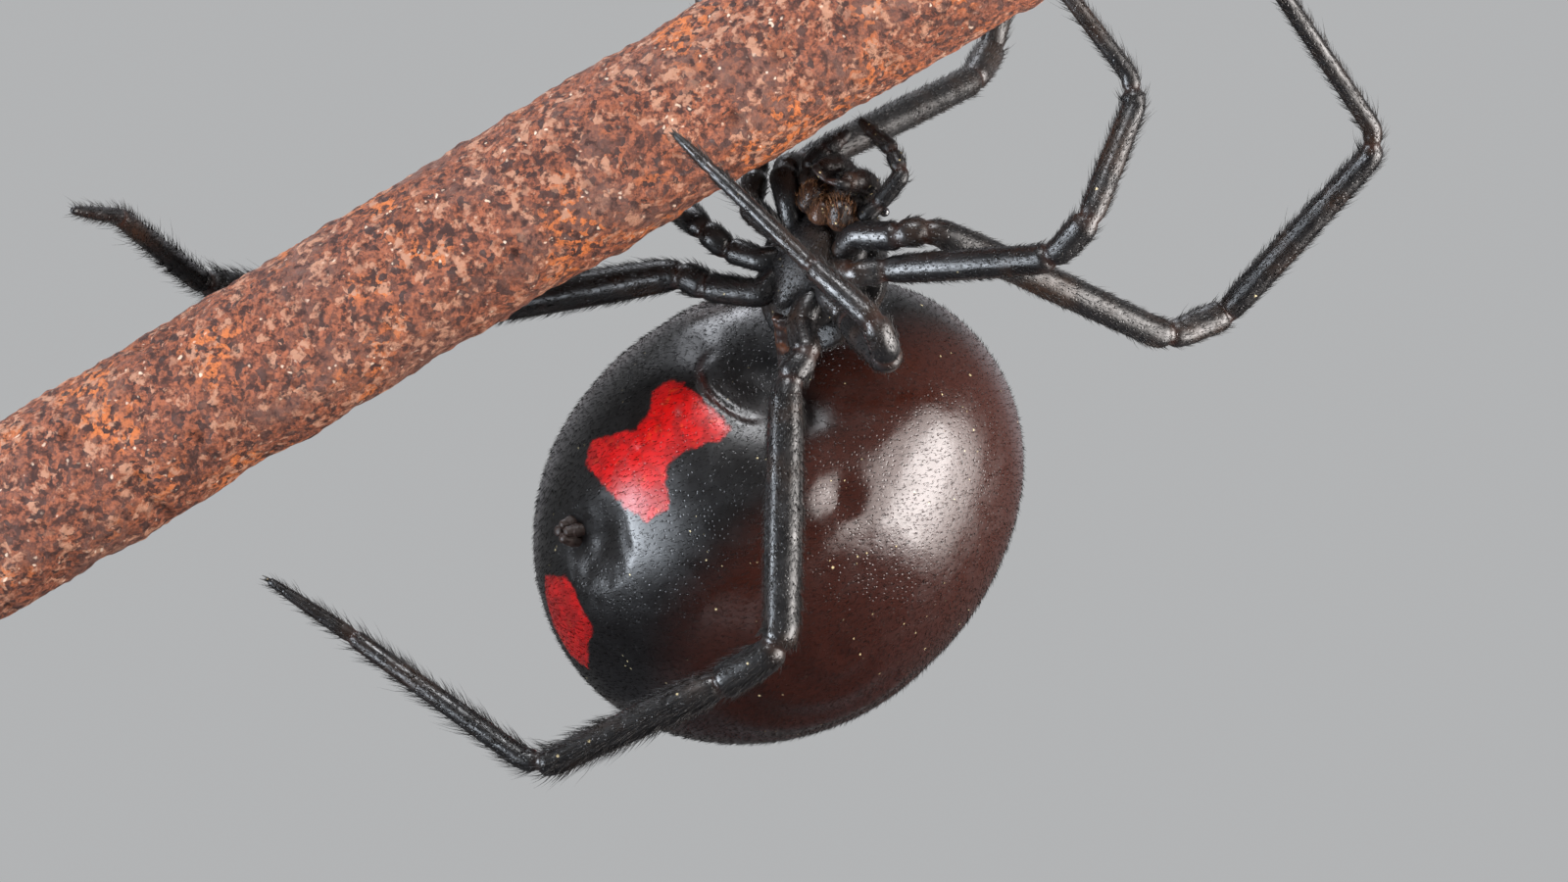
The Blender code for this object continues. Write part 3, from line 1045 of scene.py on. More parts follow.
@dataclass(frozen=True)
class PlainFinish:
    """A finish whose colour only wanders a little."""

    name: str
    tone: Colour
    roughness: float
    wander: float
    per_metre: float
    bump: float
    coat: float = 0.0

    def make(self) -> Material:
        """Return the material."""
        finish = Finish(self.name)
        low, high = (times_as_bright(self.tone, 1.0 + sign * self.wander) for sign in (-1.0, 1.0))
        pattern = finish.noise(self.per_metre)
        return finish.settings(
            Base_Color=finish.blend(pattern, low, high),
            Normal=finish.raise_by(pattern, self.bump),
            Roughness=self.roughness,
            Coat_Weight=self.coat,
        )


@dataclass(frozen=True)
class MembraneFinish:
    """Soft, folded joint skin, dark with orange-brown streaks."""

    dark: Colour = colour(0.010, 0.005, 0.004)
    streak: Colour = colour(0.055, 0.017, 0.006)
    roughness: float = 0.38

    def make(self) -> Material:
        """Return the material."""
        finish = Finish("joint_skin")
        pattern = finish.noise(3500.0, 4.0, 0.6)
        return finish.settings(
            Base_Color=finish.blend(finish.ease(pattern, 0.46, 0.68), self.dark, self.streak),
            Normal=finish.raise_by(pattern, 20.0 * MICRON),
            Roughness=self.roughness,
        )


# The surroundings' colour, and where they pass from their front to their back and from below to above
AIR = colour(0.97, 0.985, 1.0)
SIDE_EDGE = (-0.6, 0.8)
HEIGHT_EDGE = (-0.7, 0.5)


@dataclass(frozen=True)
class FloorFinish:
    """Pale floor that takes soft shadows near the stand and melts into the surroundings."""

    behind: float
    before: float
    shadow_edge: tuple[float, float] = (0.03, 0.085)

    def make(self) -> Material:
        """Return the material."""
        finish = Finish("pale_floor")
        finish.settings(Base_Color=colour(0.5, 0.5, 0.51), Roughness=0.9)
        parts = finish.add("ShaderNodeSeparateXYZ", Vector=finish.places).outputs
        squares = [finish.reckon("POWER", parts[axis], 2.0) for axis in ("X", "Y")]
        far = finish.reckon("SQRT", finish.plus(*squares))
        level = finish.ease(finish.reckon("DIVIDE", parts["Y"], far), *SIDE_EDGE, self.before, self.behind)
        glow = finish.add("ShaderNodeEmission", Color=AIR, Strength=level)
        shader = finish.shader.outputs["BSDF"]
        edge = finish.ease(far, *self.shadow_edge)
        finish.end_with("Material Output", edge, shader, glow.outputs["Emission"])
        return finish.material


# Abdomen
# Places on it are in degrees from straight down, first towards the head and then towards the left
BELLY_MIDDLE = 3.0
SPINNERET_LIFT = -33.0
STALK_PLACE = (40.0, 6.0)
# Its hairs lie back towards this place
HAIRS_TOWARDS = -50.0

# Two ovals on the belly, the soft bay beside the spinnerets and the plate near the stalk: their place and
# their half widths
BAY = (-28.5, 9.6, 13.2, 11.8)
PLATE = (28.0, 2.5, 10.4, 14.5)
# Soft hollows, and swellings where the depth is below zero: their oval and their depth in mm
OVAL_HOLLOWS = (
    ((-33.5, 1.2, 4.0, 4.0), 0.12),
    ((30.0, 6.0, 8.0, 11.0), 0.09),
    ((27.0, -15.0, 9.0, 13.0), -0.07),
)
# The same where they are round: their place, depth in mm and half width
ROUND_HOLLOWS = ((10.8, 3.4, 0.05, 1.2), (-3.9, 3.9, 0.05, 1.2))
PAIRED_HOLLOWS = ((38.0, 41.6, 0.14, 5.4), (35.5, 47.5, -0.02, 3.4), (20.0, 47.0, 0.04, 4.0))
# The folds around the plate near the stalk: share of its half width, rise in mm and width
PLATE_FOLDS = ((1.00, 0.022, 0.06), (0.87, -0.045, 0.07), (0.70, 0.016, 0.06))
# Changes of its egg shape: place, share by which it grows there and half width
EGG_CHANGES = ((43.0, -0.13, 24.0), (18.0, 0.02, 9.0), (SPINNERET_LIFT, -0.03, 13.0))
# Places where no hair stands, with their half widths: the spinnerets and the stalk
BARE_SPOTS = ((SPINNERET_LIFT, 7.0), (36.0, 8.0))

# Each pair of spinnerets: how far its roots are ahead and off the middle, its height and radius, in mm
SPINNERET_PAIRS = ((0.16, 0.15, 0.40, 0.16), (-0.15, 0.14, 0.36, 0.14), (-0.01, 0.07, 0.30, 0.07))
# How it narrows: share of its length and factor of its radius
SPINNERET_TAPER = ((0.0, 1.0), (0.5, 0.98), (0.62, 0.9), (0.66, 0.78), (0.9, 0.66), (1.0, 0.5))

# Outlines of the two red marks
HOURGLASS = (
    (13.4, -6.3), (15.3, 0.1), (18.6, 14.4), (14.7, 15.7), (7.4, 12.9), (0.8, 11.7),
    (-3.7, 16.5), (-6.4, 20.4), (-13.5, 18.4), (-14.8, 12.0), (-15.9, 0.9), (-16.6, -6.1),
    (-12.4, -9.4), (-1.1, -1.2), (4.4, -2.2), (7.7, -7.3),
)
REAR_MARK = (
    (-50.3, -3.2), (-43.6, 4.4), (-43.6, 9.1), (-49.8, 16.9),
    (-67.8, 13.6), (-68.5, 6.7), (-64.3, 0.3), (-56.2, -2.3),
)


def belly_direction(towards_head: float, towards_left: float = 0.0) -> Array:
    """Return a unit direction in the abdomen's axes.

    Args:
        towards_head: Turn from straight down towards the head, in degrees.
        towards_left: Turn towards the left, in degrees.

    Returns:
        The direction's forward, left and up parts.
    """
    lift = math.radians(towards_head)
    side = math.radians(towards_left)
    return np.array((math.sin(lift) * math.cos(side), math.sin(side), -math.cos(lift) * math.cos(side)))


def lift_and_side(ways: Array) -> tuple[Array, Array]:
    """Return directions as degrees towards the head and towards the left."""
    lift = np.degrees(np.arctan2(ways[:, 0], -ways[:, 2]))
    return lift, np.degrees(np.arcsin(np.clip(ways[:, 1], -1.0, 1.0)))


def oval_share(ways: Array, towards_head: float, towards_left: float, long: float, wide: float) -> Array:
    """Return the distance from the middle of an oval, in its half widths.

    Args:
        ways: Unit directions.
        towards_head: Place of its middle.
        towards_left: The same, the other way.
        long: Its half width towards the head.
        wide: Its half width towards the left.

    Returns:
        One distance for each direction, 1 on the oval's edge.
    """
    lift, side = lift_and_side(ways)
    return np.hypot((lift - towards_head) / long, (side - towards_left) / wide)


@dataclass
class Abdomen:
    """The round hind body: its skin, marks, spinnerets and hairs.

    The hairs' lean is the least and most angle between hair and skin in degrees. The mark radius is how
    far the red marks are from its middle, in mm.
    """

    front: float = 5.5 * MM
    back: float = 5.05 * MM
    half_width: float = 4.15 * MM
    half_height: float = 4.8 * MM
    coat_depth: float = 0.06 * MM
    hairs: int = 32000
    hair_length: float = 0.105 * MM
    hair_radius: float = 0.006 * MM
    hair_lean: tuple[float, float] = (20.0, 40.0)
    mark_radius: float = 4.75
    rings: int = 220
    segments: int = 320

    def __post_init__(self) -> None:
        """Find its middle, axes and landmarks."""
        self.centre = PICTURE_CENTRE + np.array((-0.24, 4.95, -1.47)) * MM
        self.axes = body_axes((0.72, -0.20, 0.67), (0.55, 0.757, -0.355))
        self.spinneret_way = belly_direction(SPINNERET_LIFT)
        self.noise = LatticeNoise(7)

    def relief(self, ways: Array) -> Array:
        """Return how far the skin's own folds rise.

        Args:
            ways: Unit directions.

        Returns:
            One height in metres for each direction.
        """
        lift, side = lift_and_side(ways)
        rise = np.zeros(len(ways))
        for oval, depth in OVAL_HOLLOWS:
            rise -= depth * bell(oval_share(ways, *oval))
        bay = oval_share(ways, *BAY) + 0.08 * self.noise.at(ways, 0.06)
        rise -= 0.24 * np.clip(1.0 - np.sqrt(bay**2 + 0.015), 0.0, 1.0)
        plate = oval_share(ways, *PLATE) + 0.12 * self.noise.at(ways, 0.17)
        behind = smooth_step(PLATE[0] - lift, 0.0, 5.0) * bell(side - 5.0, 13.0)
        behind *= 1.0 + 0.6 * self.noise.at(ways, 0.05)
        for share, height, width in PLATE_FOLDS:
            rise += height * bell(plate - share, width) * behind
        mirrored = [(fore, 2.0 * BELLY_MIDDLE - left, *rest) for fore, left, *rest in PAIRED_HOLLOWS]
        for fore, left, depth, width in (*ROUND_HOLLOWS, *PAIRED_HOLLOWS, *mirrored):
            rise -= depth * bell(degrees_between(ways, belly_direction(fore, left)), width)
        low_flank = smooth_step(side, 30.0, 50.0) * smooth_step(-lift, -5.0, 25.0)
        rise += 0.022 * low_flank * np.sin(np.radians(side * 22.0 + lift * 3.0))
        rise += 0.030 * self.noise.at(ways, 0.42) + 0.007 * self.noise.at(ways, 0.16)
        rise += 0.010 * self.noise.at(ways, 0.07) * bell(np.hypot(lift - 42.0, side - 44.0), 18.0)
        return rise * MM

    def reach(self, ways: Array) -> Array:
        """Return the skin's distance from the middle.

        Args:
            ways: Unit directions.

        Returns:
            One distance for each direction.
        """
        length = np.where(ways[:, 0] > 0, self.front, self.back)
        scaled = np.stack((ways[:, 0] / length, ways[:, 1] / self.half_width, ways[:, 2] / self.half_height))
        far = 1.0 / np.linalg.norm(scaled, axis=0)
        for fore, swelling, width in EGG_CHANGES:
            far *= 1.0 + swelling * bell(degrees_between(ways, belly_direction(fore)), width)
        return far - self.coat_depth + self.relief(ways)

    def place(self, ways: Array) -> Array:
        """Return the skin's places in the model along unit directions in its own axes."""
        return self.centre + (ways * self.reach(ways)[:, None]) @ self.axes

    def red_distance(self, ways: Array) -> Array:
        """Return the distance in mm outside the nearer red mark, less than zero inside it."""
        flat = np.stack(lift_and_side(ways), axis=1)
        gaps = [outside(flat, np.array(outline)) for outline in (HOURGLASS, REAR_MARK)]
        return np.minimum(*gaps) * math.radians(self.mark_radius)

    def flank(self, ways: Array) -> Array:
        """Return how maroon the skin is.

        Args:
            ways: Unit directions.

        Returns:
            0 on the belly's black and 1 on the flanks and back.
        """
        lift, side = lift_and_side(ways)
        off_middle = np.abs(side - BELLY_MIDDLE)
        from_back = degrees_between(ways, belly_direction(180.0))
        shares = (
            smooth_step(off_middle, 20.0, 52.0),
            smooth_step(lift, 34.0, 52.0) * smooth_step(side, -10.0, 12.0),
            smooth_step(lift, 14.0, 36.0) * smooth_step(off_middle, 14.0, 30.0),
            smooth_step(-from_back, -110.0, -80.0),
        )
        return np.maximum.reduce(shares)

    def marks(self, ways: Array) -> dict[str, Array]:
        """Return the numbers that the skin keeps for its material.

        Args:
            ways: Unit directions.

        Returns:
            Each number's name, with one value for each direction.
        """
        lift, side = lift_and_side(ways)
        behind = smooth_step(30.0 - lift, 0.0, 6.0) * bell(side - 2.0, 9.0)
        return {
            "red_mark": self.red_distance(ways),
            "flank": self.flank(ways),
            "downy": smooth_step(lift, 66.0, 100.0) * smooth_step(side, 10.0, 30.0),
            "pit": bell(oval_share(ways, *PLATE) - 0.92, 0.06) * behind,
        }

    def build_skin(self) -> None:
        """Model the skin."""
        piece, ways = ball_piece("abdomen_skin", self.place, self.rings, self.segments)
        for name, values in self.marks(ways).items():
            store(piece, name, values)
        finish_piece(piece, AbdomenFinish().make(), ("abdomen",))

    def build_hair(self) -> None:
        """Model the short hairs that lean back over the skin."""
        random = np.random.default_rng(11)
        ways = even_ways(self.hairs, 0.010, random)
        for fore, width in BARE_SPOTS:
            ways = ways[degrees_between(ways, belly_direction(fore)) > width]
        outward = ball_normal(self.place, ways)
        towards = belly_direction(HAIRS_TOWARDS) @ self.axes
        back = unit(towards - outward * (outward @ towards)[:, None])
        back = unit(back + random.normal(0.0, 0.25, back.shape))
        lean = np.radians(random.uniform(*self.hair_lean, len(ways)))[:, None]
        hair = unit(outward * np.sin(lean) + back * np.cos(lean))
        lengths = self.hair_length * random.uniform(*HAIR_VARIES, len(ways))
        tone = colour(0.0020, 0.0013, 0.0011)
        material = HairFinish("abdomen_hair", tone, roughness=0.6, gloss=1.22, over_red=True).make()
        for name, part in (("front", ways[:, 0] >= 0.0), ("rear", ways[:, 0] < 0.0)):
            coat = Coat(
                roots=self.place(ways[part]) - outward[part] * 0.01 * MM,
                ways=hair[part],
                droop=back[part],
                lengths=lengths[part],
                patches=ball_patches(ways[part]),
                root_radius=self.hair_radius,
                marks={"red_mark": self.red_distance(ways[part])},
            )
            finish_piece(coat.build("abdomen_hair_" + name), material)

    def build_spinnerets(self) -> None:
        """Model six small cones on the belly, two large, two middling and two small."""
        root = self.place(self.spinneret_way[None])[0]
        outward = self.spinneret_way @ self.axes
        left = self.axes[1]
        ahead = unit(np.cross(left, outward))
        sunk = 0.15
        parts = []
        for (fore, off_middle, tall, wide), sign in itertools.product(SPINNERET_PAIRS, (1.0, -1.0)):
            side = off_middle * sign
            foot = root + (ahead * fore + left * side) * MM - outward * sunk * MM
            top = foot + (outward * (tall + sunk) - ahead * fore * 0.6 - left * side * 0.35) * MM
            middle = foot + (top - foot) * 0.5 + outward * 0.04 * MM
            route = Route(np.array((foot, middle, top)), 0.02 * MM, 3)
            profile = [(share, wide * factor) for share, factor in SPINNERET_TAPER]
            radius_at = turned_radius(route.length, profile, 0.02, 0.06)
            parts.append(wrap_tube("spinneret", route, radius_at, 40, 18))
        skin = PlainFinish(
            "spinneret_skin", colour(0.018, 0.008, 0.005),
            roughness=0.5, wander=0.6, per_metre=7000.0, bump=30.0 * MICRON,
        ).make()
        finish_piece(join_pieces(parts, "spinneret_cluster"), skin, ("spinnerets",))

    def build(self) -> None:
        """Build every piece of the abdomen."""
        self.build_skin()
        self.build_hair()
        self.build_spinnerets()


# Legs
class Side(Enum):
    """Side of the spider, with the sign of its side distances."""

    LEFT = 1
    RIGHT = -1

    @property
    def word(self) -> str:
        """Return the side's name in node names."""
        return self.name.lower()


@dataclass(frozen=True)
class LegSizes:
    """Sizes of one pair of legs, in mm.

    Lengths run from trochanter to tarsus. Radii are those of each part's two ends, from coxa to tarsus.
    Root side is how far from the middle the coxa is rooted.
    """

    lengths: tuple[float, ...]
    radii: tuple[tuple[float, float], ...]
    root_side: float = 0.86


LEG_PAIRS = {
    1: LegSizes(
        (0.55, 5.75, 1.35, 4.75, 5.35, 2.1),
        ((0.25, 0.30), (0.29, 0.29), (0.31, 0.30), (0.30, 0.30), (0.28, 0.25), (0.19, 0.165), (0.15, 0.10)),
    ),
    2: LegSizes(
        (0.71, 3.75, 1.1, 2.8, 3.55, 1.45),
        ((0.24, 0.28), (0.27, 0.27), (0.29, 0.29), (0.28, 0.28), (0.26, 0.24), (0.18, 0.155), (0.14, 0.09)),
    ),
    3: LegSizes(
        (0.62, 3.1, 1.0, 1.75, 2.75, 1.15),
        ((0.23, 0.27), (0.27, 0.27), (0.29, 0.30), (0.29, 0.28), (0.25, 0.23), (0.17, 0.145), (0.13, 0.085)),
    ),
    4: LegSizes(
        (0.6, 5.3, 1.45, 3.9, 4.55, 2.0),
        ((0.26, 0.31), (0.31, 0.31), (0.35, 0.35), (0.34, 0.34), (0.33, 0.29), (0.22, 0.19), (0.16, 0.11)),
        0.55,
    ),
}

# How the width of each leg part runs along it: share of its length and factor of its radius
PART_PROFILES = (
    ((0.0, 0.80), (0.25, 1.0), (0.75, 1.0), (0.93, 0.96)),
    ((0.15, 0.93), (0.5, 1.0), (0.85, 0.95)),
    ((0.025, 0.80), (0.07, 0.93), (0.2, 1.0), (0.55, 1.05), (0.88, 1.0), (0.965, 1.0)),
    ((0.10, 0.93), (0.35, 1.02), (0.8, 1.03), (0.92, 0.97)),
    ((0.03, 0.88), (0.10, 1.0), (0.4, 1.03), (0.85, 0.98), (0.96, 0.96)),
    ((0.02, 1.0), (0.10, 1.0), (0.5, 0.98), (0.97, 0.95)),
    ((0.03, 0.96), (0.2, 1.0), (0.7, 0.92), (0.94, 0.72)),
)
# Width of the soft fold between two parts
JOINT_WAISTS = (0.84, 0.86, 0.84, 0.86, 0.84, 0.92)
# Factor of the hairs' length at each joint, from the root to the claws
HAIR_LENGTHS = (0.6, 0.75, 0.75, 0.75, 1.0, 1.3, 1.15, 0.8)

# Each leg's hip along the head's axes in mm, then each part's turn in the picture and its lean away from it
LEG_POSES = {
    (Side.LEFT, 1): ((1.49, 1.77, 0.20), ((19, -11), (-24, 25), (23, 20), (48, -22), (126, -22), (128, -12))),
    (Side.LEFT, 2): ((0.38, 1.28, -0.08), ((8, 10), (3, -32), (48, -23), (68, 16), (128, -11), (131, 16))),
    (Side.LEFT, 3): (
        (-0.38, 1.49, 0.18), ((-72, -74), (-47, -69), (113, -27), (138, 25), (136, 15), (136, 26)),
    ),
    (Side.LEFT, 4): (
        (-1.42, 1.20, -0.10), ((-133, -8), (-91, -10), (-150, 16), (-155, 5), (145, 14), (146, -3)),
    ),
    (Side.RIGHT, 1): ((1.40, -1.40, 0.42), ((16, 53), (28, 46), (60, 55), (79, 0), (115, -78), (-111, -60))),
    (Side.RIGHT, 2): ((0.49, -1.64, 0.19), ((71, 29), (104, 45), (116, 25), (72, -1), (7, -56), (-35, -37))),
    (Side.RIGHT, 3): (
        (-0.46, -1.61, 0.20), ((141, -3), (138, 49), (149, 30), (-164, -25), (-146, -19), (-142, -30)),
    ),
    (Side.RIGHT, 4): (
        (-1.30, -1.60, 0.05), ((149, 23), (-171, 24), (171, 26), (174, -29), (137, -67), (175, -68)),
    ),
}
LEG_NODES = ("coxa", "femur", "tibia", "metatarsus")
# Joints at which the solids are parted, so that the middle line runs straight across them
SPLIT_JOINTS = (2, 3, 5)


def turned_way(turn: float, lean: float) -> Array:
    """Return the direction of a leg part.

    Args:
        turn: Its turn in the picture from +X towards +Z, in degrees.
        lean: Its lean away from the camera, in degrees.

    Returns:
        The unit direction.
    """
    turned = math.radians(turn)
    leaned = math.radians(lean)
    level = math.cos(leaned)
    return np.array((math.cos(turned) * level, math.sin(leaned), math.sin(turned) * level))


def round_corner(corner: Array, into: Array, out_of: Array, straight: float, bend: float) -> list[Array]:
    """Return points that round a corner of a leg's middle line, as its solids do.

    Args:
        corner: Where the two straight stretches would meet.
        into: Unit direction towards the corner.
        out_of: Unit direction away from it.
        straight: Length of the straight stretch in the middle.
        bend: Radius of the two bends beside it.

    Returns:
        Points along the rounded corner.
    """
    middle = unit(into + out_of)
    inward = unit(out_of - into)
    half = math.acos(max(-1.0, min(1.0, float(into @ out_of)))) / 2.0
    reach = (straight / 2.0 + bend * math.sin(half)) / math.cos(half)
    inset = reach * math.sin(half) - bend * (1.0 - math.cos(half))
    pivot = corner + inward * (inset + bend)
    before = []
    after = []
    for angle in np.linspace(0.0, half, 6):
        drop = inward * bend * math.cos(angle)
        along = middle * (straight / 2.0 + bend * math.sin(angle))
        after.append(pivot - drop + along)
        before.insert(0, pivot - drop - along)
    return before + after


@dataclass
class Leg:
    """One leg from its root in the front body to its claws.

    Root inside is the left side's point within the body, in mm along the head's axes, that the middle line
    comes from. The depth of a joint's groove and the rise of its rims are shares of the radius, and the
    width of its fold is in mm.
    """

    side: Side
    pair: int
    sides: int = 28
    ring_step: float = 0.06 * MM
    hairs_per_mm2: float = 170.0
    hair_length: float = 0.16 * MM
    root_spread: float = 0.70
    root_up: float = 0.24
    root_inside: Triple = (0.15, 0.35, 0.55)
    joint_straight: float = 0.36 * MM
    joint_bend: float = 0.35 * MM
    groove_depth: float = 0.09
    rim_rise: float = 0.03
    fold_width: float = 0.075

    def __post_init__(self) -> None:
        """Find its joints, its middle line and its width along it."""
        self.name = "leg_%s_%d" % (self.side.word, self.pair)
        self.sizes = LEG_PAIRS[self.pair]
        self.joints = self.find_joints()
        self.route = Route(self.find_line(), 0.04 * MM, 3)
        self.joint_arcs = [self.route.nearest(joint) for joint in self.joints]
        self.joint_arcs[0] = 0.0
        self.joint_arcs[-1] = self.route.length
        self.known_arcs, self.known_radii = self.find_profile()

    def find_joints(self) -> list[Array]:
        """Return the joints from the coxa's root to the tarsus's tip."""
        hip, directions = LEG_POSES[(self.side, self.pair)]
        root = head_point(hip[0] * self.root_spread, self.sizes.root_side * self.side.value, self.root_up)
        joints = [root, head_point(*hip)]
        for length, direction in zip(self.sizes.lengths, directions):
            joints.append(joints[-1] + turned_way(*direction) * length * MM)
        return joints

    def find_line(self) -> Array:
        """Return the middle line with its corners rounded, begun inside the front body."""
        ahead, off_middle, up = self.root_inside
        inside = head_point(ahead, off_middle * self.side.value, up)
        points = [self.joints[0] + (inside - self.joints[0]) * 0.6, self.joints[0]]
        for index in range(1, len(self.joints) - 1):
            into = unit(self.joints[index] - self.joints[index - 1])
            out_of = unit(self.joints[index + 1] - self.joints[index])
            straight = self.joint_straight if index in SPLIT_JOINTS else 0.0
            points += round_corner(self.joints[index], into, out_of, straight, self.joint_bend)
        points.append(self.joints[-1])
        return np.array(points)

    def find_profile(self) -> tuple[Array, Array]:
        """Return distances along the leg and the radius at each."""
        arcs = []
        radii = []
        for part, (low, high) in enumerate(zip(self.joint_arcs[:-1], self.joint_arcs[1:])):
            start, end = self.sizes.radii[part]
            for far, factor in PART_PROFILES[part]:
                arcs.append(low + (high - low) * far)
                radii.append((start + (end - start) * far) * factor)
            if part < len(JOINT_WAISTS):
                arcs.append(high)
                radii.append(min(end, self.sizes.radii[part + 1][0]) * JOINT_WAISTS[part])
        order = np.argsort(arcs)
        return np.array(arcs)[order], np.array(radii)[order] * MM

    def radius(self, arcs: Array, _angles: Array) -> Array:
        """Return the radius of the skin, with a groove and a low rim at each joint.

        Args:
            arcs: Distances along the leg.
            _angles: Angles around it, which make no difference.

        Returns:
            One radius for each distance.
        """
        wide = np.interp(arcs, self.known_arcs, self.known_radii)
        for joint in self.joint_arcs[1:-1]:
            off = (arcs - joint) / MM
            groove = self.groove_depth * bell(off, 0.05)
            wide = wide * (1.0 - groove + self.rim_rise * bell(np.abs(off) - 0.16, 0.06))
        return wide * domed(arcs, self.route.length, 0.1 * MM, 0.12 * MM)

    def fold(self, arcs: Array) -> Array:
        """Return how much of each place along the leg is soft, brown joint skin."""
        shares = [bell((arcs - joint) / MM, self.fold_width) for joint in self.joint_arcs[1:-1]]
        return np.maximum.reduce(shares)

    def build_skin(self, material: Material) -> None:
        """Model the leg's skin."""
        rings = math.ceil(self.route.length / self.ring_step)
        piece = wrap_tube(self.name + "_skin", self.route, self.radius, rings, self.sides)
        store(piece, "fold", self.fold(along_of(piece) * MM))
        nodes = [self.name + "_" + node for node in LEG_NODES]
        finish_piece(piece, material, nodes)

    def hair_length_at(self, arcs: Array) -> Array:
        """Return the hairs' length at distances along the leg, longer on the last pair."""
        longer = 1.5 if self.pair == 4 else 1.0
        return self.hair_length * longer * np.interp(arcs, self.joint_arcs, HAIR_LENGTHS)

    def build_hair(self, material: Material) -> None:
        """Model the leg's hairs, which lean towards its tip."""
        seed = 100 + self.pair + 10 * self.side.value
        kind = TubeCoat(self.hairs_per_mm2, lean=(22.0, 42.0), seed=seed, bristles=0.035)
        coat = kind.grow(self.route, self.radius, self.hair_length_at, lambda arcs: self.fold(arcs) > 0.4)
        finish_piece(coat.build(self.name + "_hair"), material)

    def build_claws(self, material: Material) -> None:
        """Model the two curved claws and the small middle one at the tip."""
        ahead, first, second = (rows[-1] for rows in (self.route.ahead, self.route.first, self.route.second))
        parts = []
        for spread, long in ((0.05, 0.2), (-0.05, 0.2), (0.0, 0.12)):
            root = self.joints[-1] - ahead * 0.06 * MM + first * spread * 0.5 * MM
            line = [
                root + (ahead * far + first * spread * far * 2.0 + second * 0.55 * far**2) * long * MM
                for far in np.linspace(0.0, 1.0, 6)
            ]
            route = Route(np.array(line), 0.012 * MM, 1)
            radius_at = turned_radius(route.length, ((0.0, 0.022), (1.0, 0.0033)), 0.01, 0.01)
            parts.append(wrap_tube("claw", route, radius_at, 14, 8))
        finish_piece(join_pieces(parts, self.name + "_claws"), material)


# Front body
@dataclass(frozen=True)
class HeadFinishes:
    """Materials of the front body."""

    shell: Material
    mouth: Material
    hair: Material
    golden: Material


@dataclass(frozen=True)
class HeadTube:
    """A bent part of the head.

    Its middle line is given along the head's axes in mm, and its profile as shares of its length, each
    with a radius in mm. The hairs' length is in mm.
    """

    name: str
    points: Sequence[Triple]
    profile: Profile
    slot: str = "mouthpart_shell"
    nodes: tuple[str, ...] = ()
    hair_length: float = 0.12
    per_mm2: float = 300.0

    def build(self, finish: Material, hair: Material | None) -> None:
        """Model the part and its hairs.

        Args:
            finish: Its material.
            hair: Material of its hairs, or None where it is bare.
        """
        step = 0.02 * MM
        route = Route(np.array([head_point(*point) for point in self.points]), step, 14)
        shares, radii = zip(*self.profile)
        radius_at = turned_radius(route.length, self.profile, radii[0] * 0.5, radii[-1] * 0.9)
        piece = wrap_tube(self.name, route, radius_at, math.ceil(route.length / step), 26)
        far = along_of(piece) * MM / route.length
        narrow = 1.0 - np.interp(far, shares, radii) / max(radii)
        store(piece, "fold", smooth_step(narrow, 0.16, 0.30) * (far < 0.85))
        finish_piece(piece, finish, self.nodes)
        if hair is not None:
            kind = TubeCoat(self.per_mm2, lean=(20.0, 45.0), seed=len(self.name))
            coat = kind.grow(route, radius_at, lambda arcs: np.full(len(arcs), self.hair_length * MM))
            finish_piece(coat.build(self.name + "_hair"), hair)


# The two feelers are held in different ways: middle line and profile of each
FEELERS = {
    Side.LEFT: (
        ((1.30, 0.66, 0.45), (1.72, 0.84, 0.52), (2.48, 0.98, 0.62), (2.80, 0.42, 0.72), (2.95, -0.55, 0.85)),
        (
            (0.0, 0.17), (0.08, 0.19), (0.17, 0.13), (0.20, 0.17), (0.40, 0.185), (0.46, 0.12), (0.50, 0.165),
            (0.58, 0.165), (0.615, 0.12), (0.65, 0.16), (0.78, 0.165), (0.82, 0.115), (0.86, 0.145),
            (0.95, 0.11), (1.0, 0.07),
        ),
    ),
    Side.RIGHT: (
        (
            (1.30, -0.68, 0.42), (1.75, -0.90, 0.54), (2.15, -0.84, 0.66), (2.42, -0.74, 0.82),
            (2.64, -0.73, 1.0),
        ),
        (
            (0.0, 0.2), (0.15, 0.23), (0.27, 0.17), (0.32, 0.23), (0.52, 0.22), (0.60, 0.15), (0.64, 0.19),
            (0.76, 0.18), (0.81, 0.13), (0.86, 0.15), (0.95, 0.12), (1.0, 0.08),
        ),
    ),
}


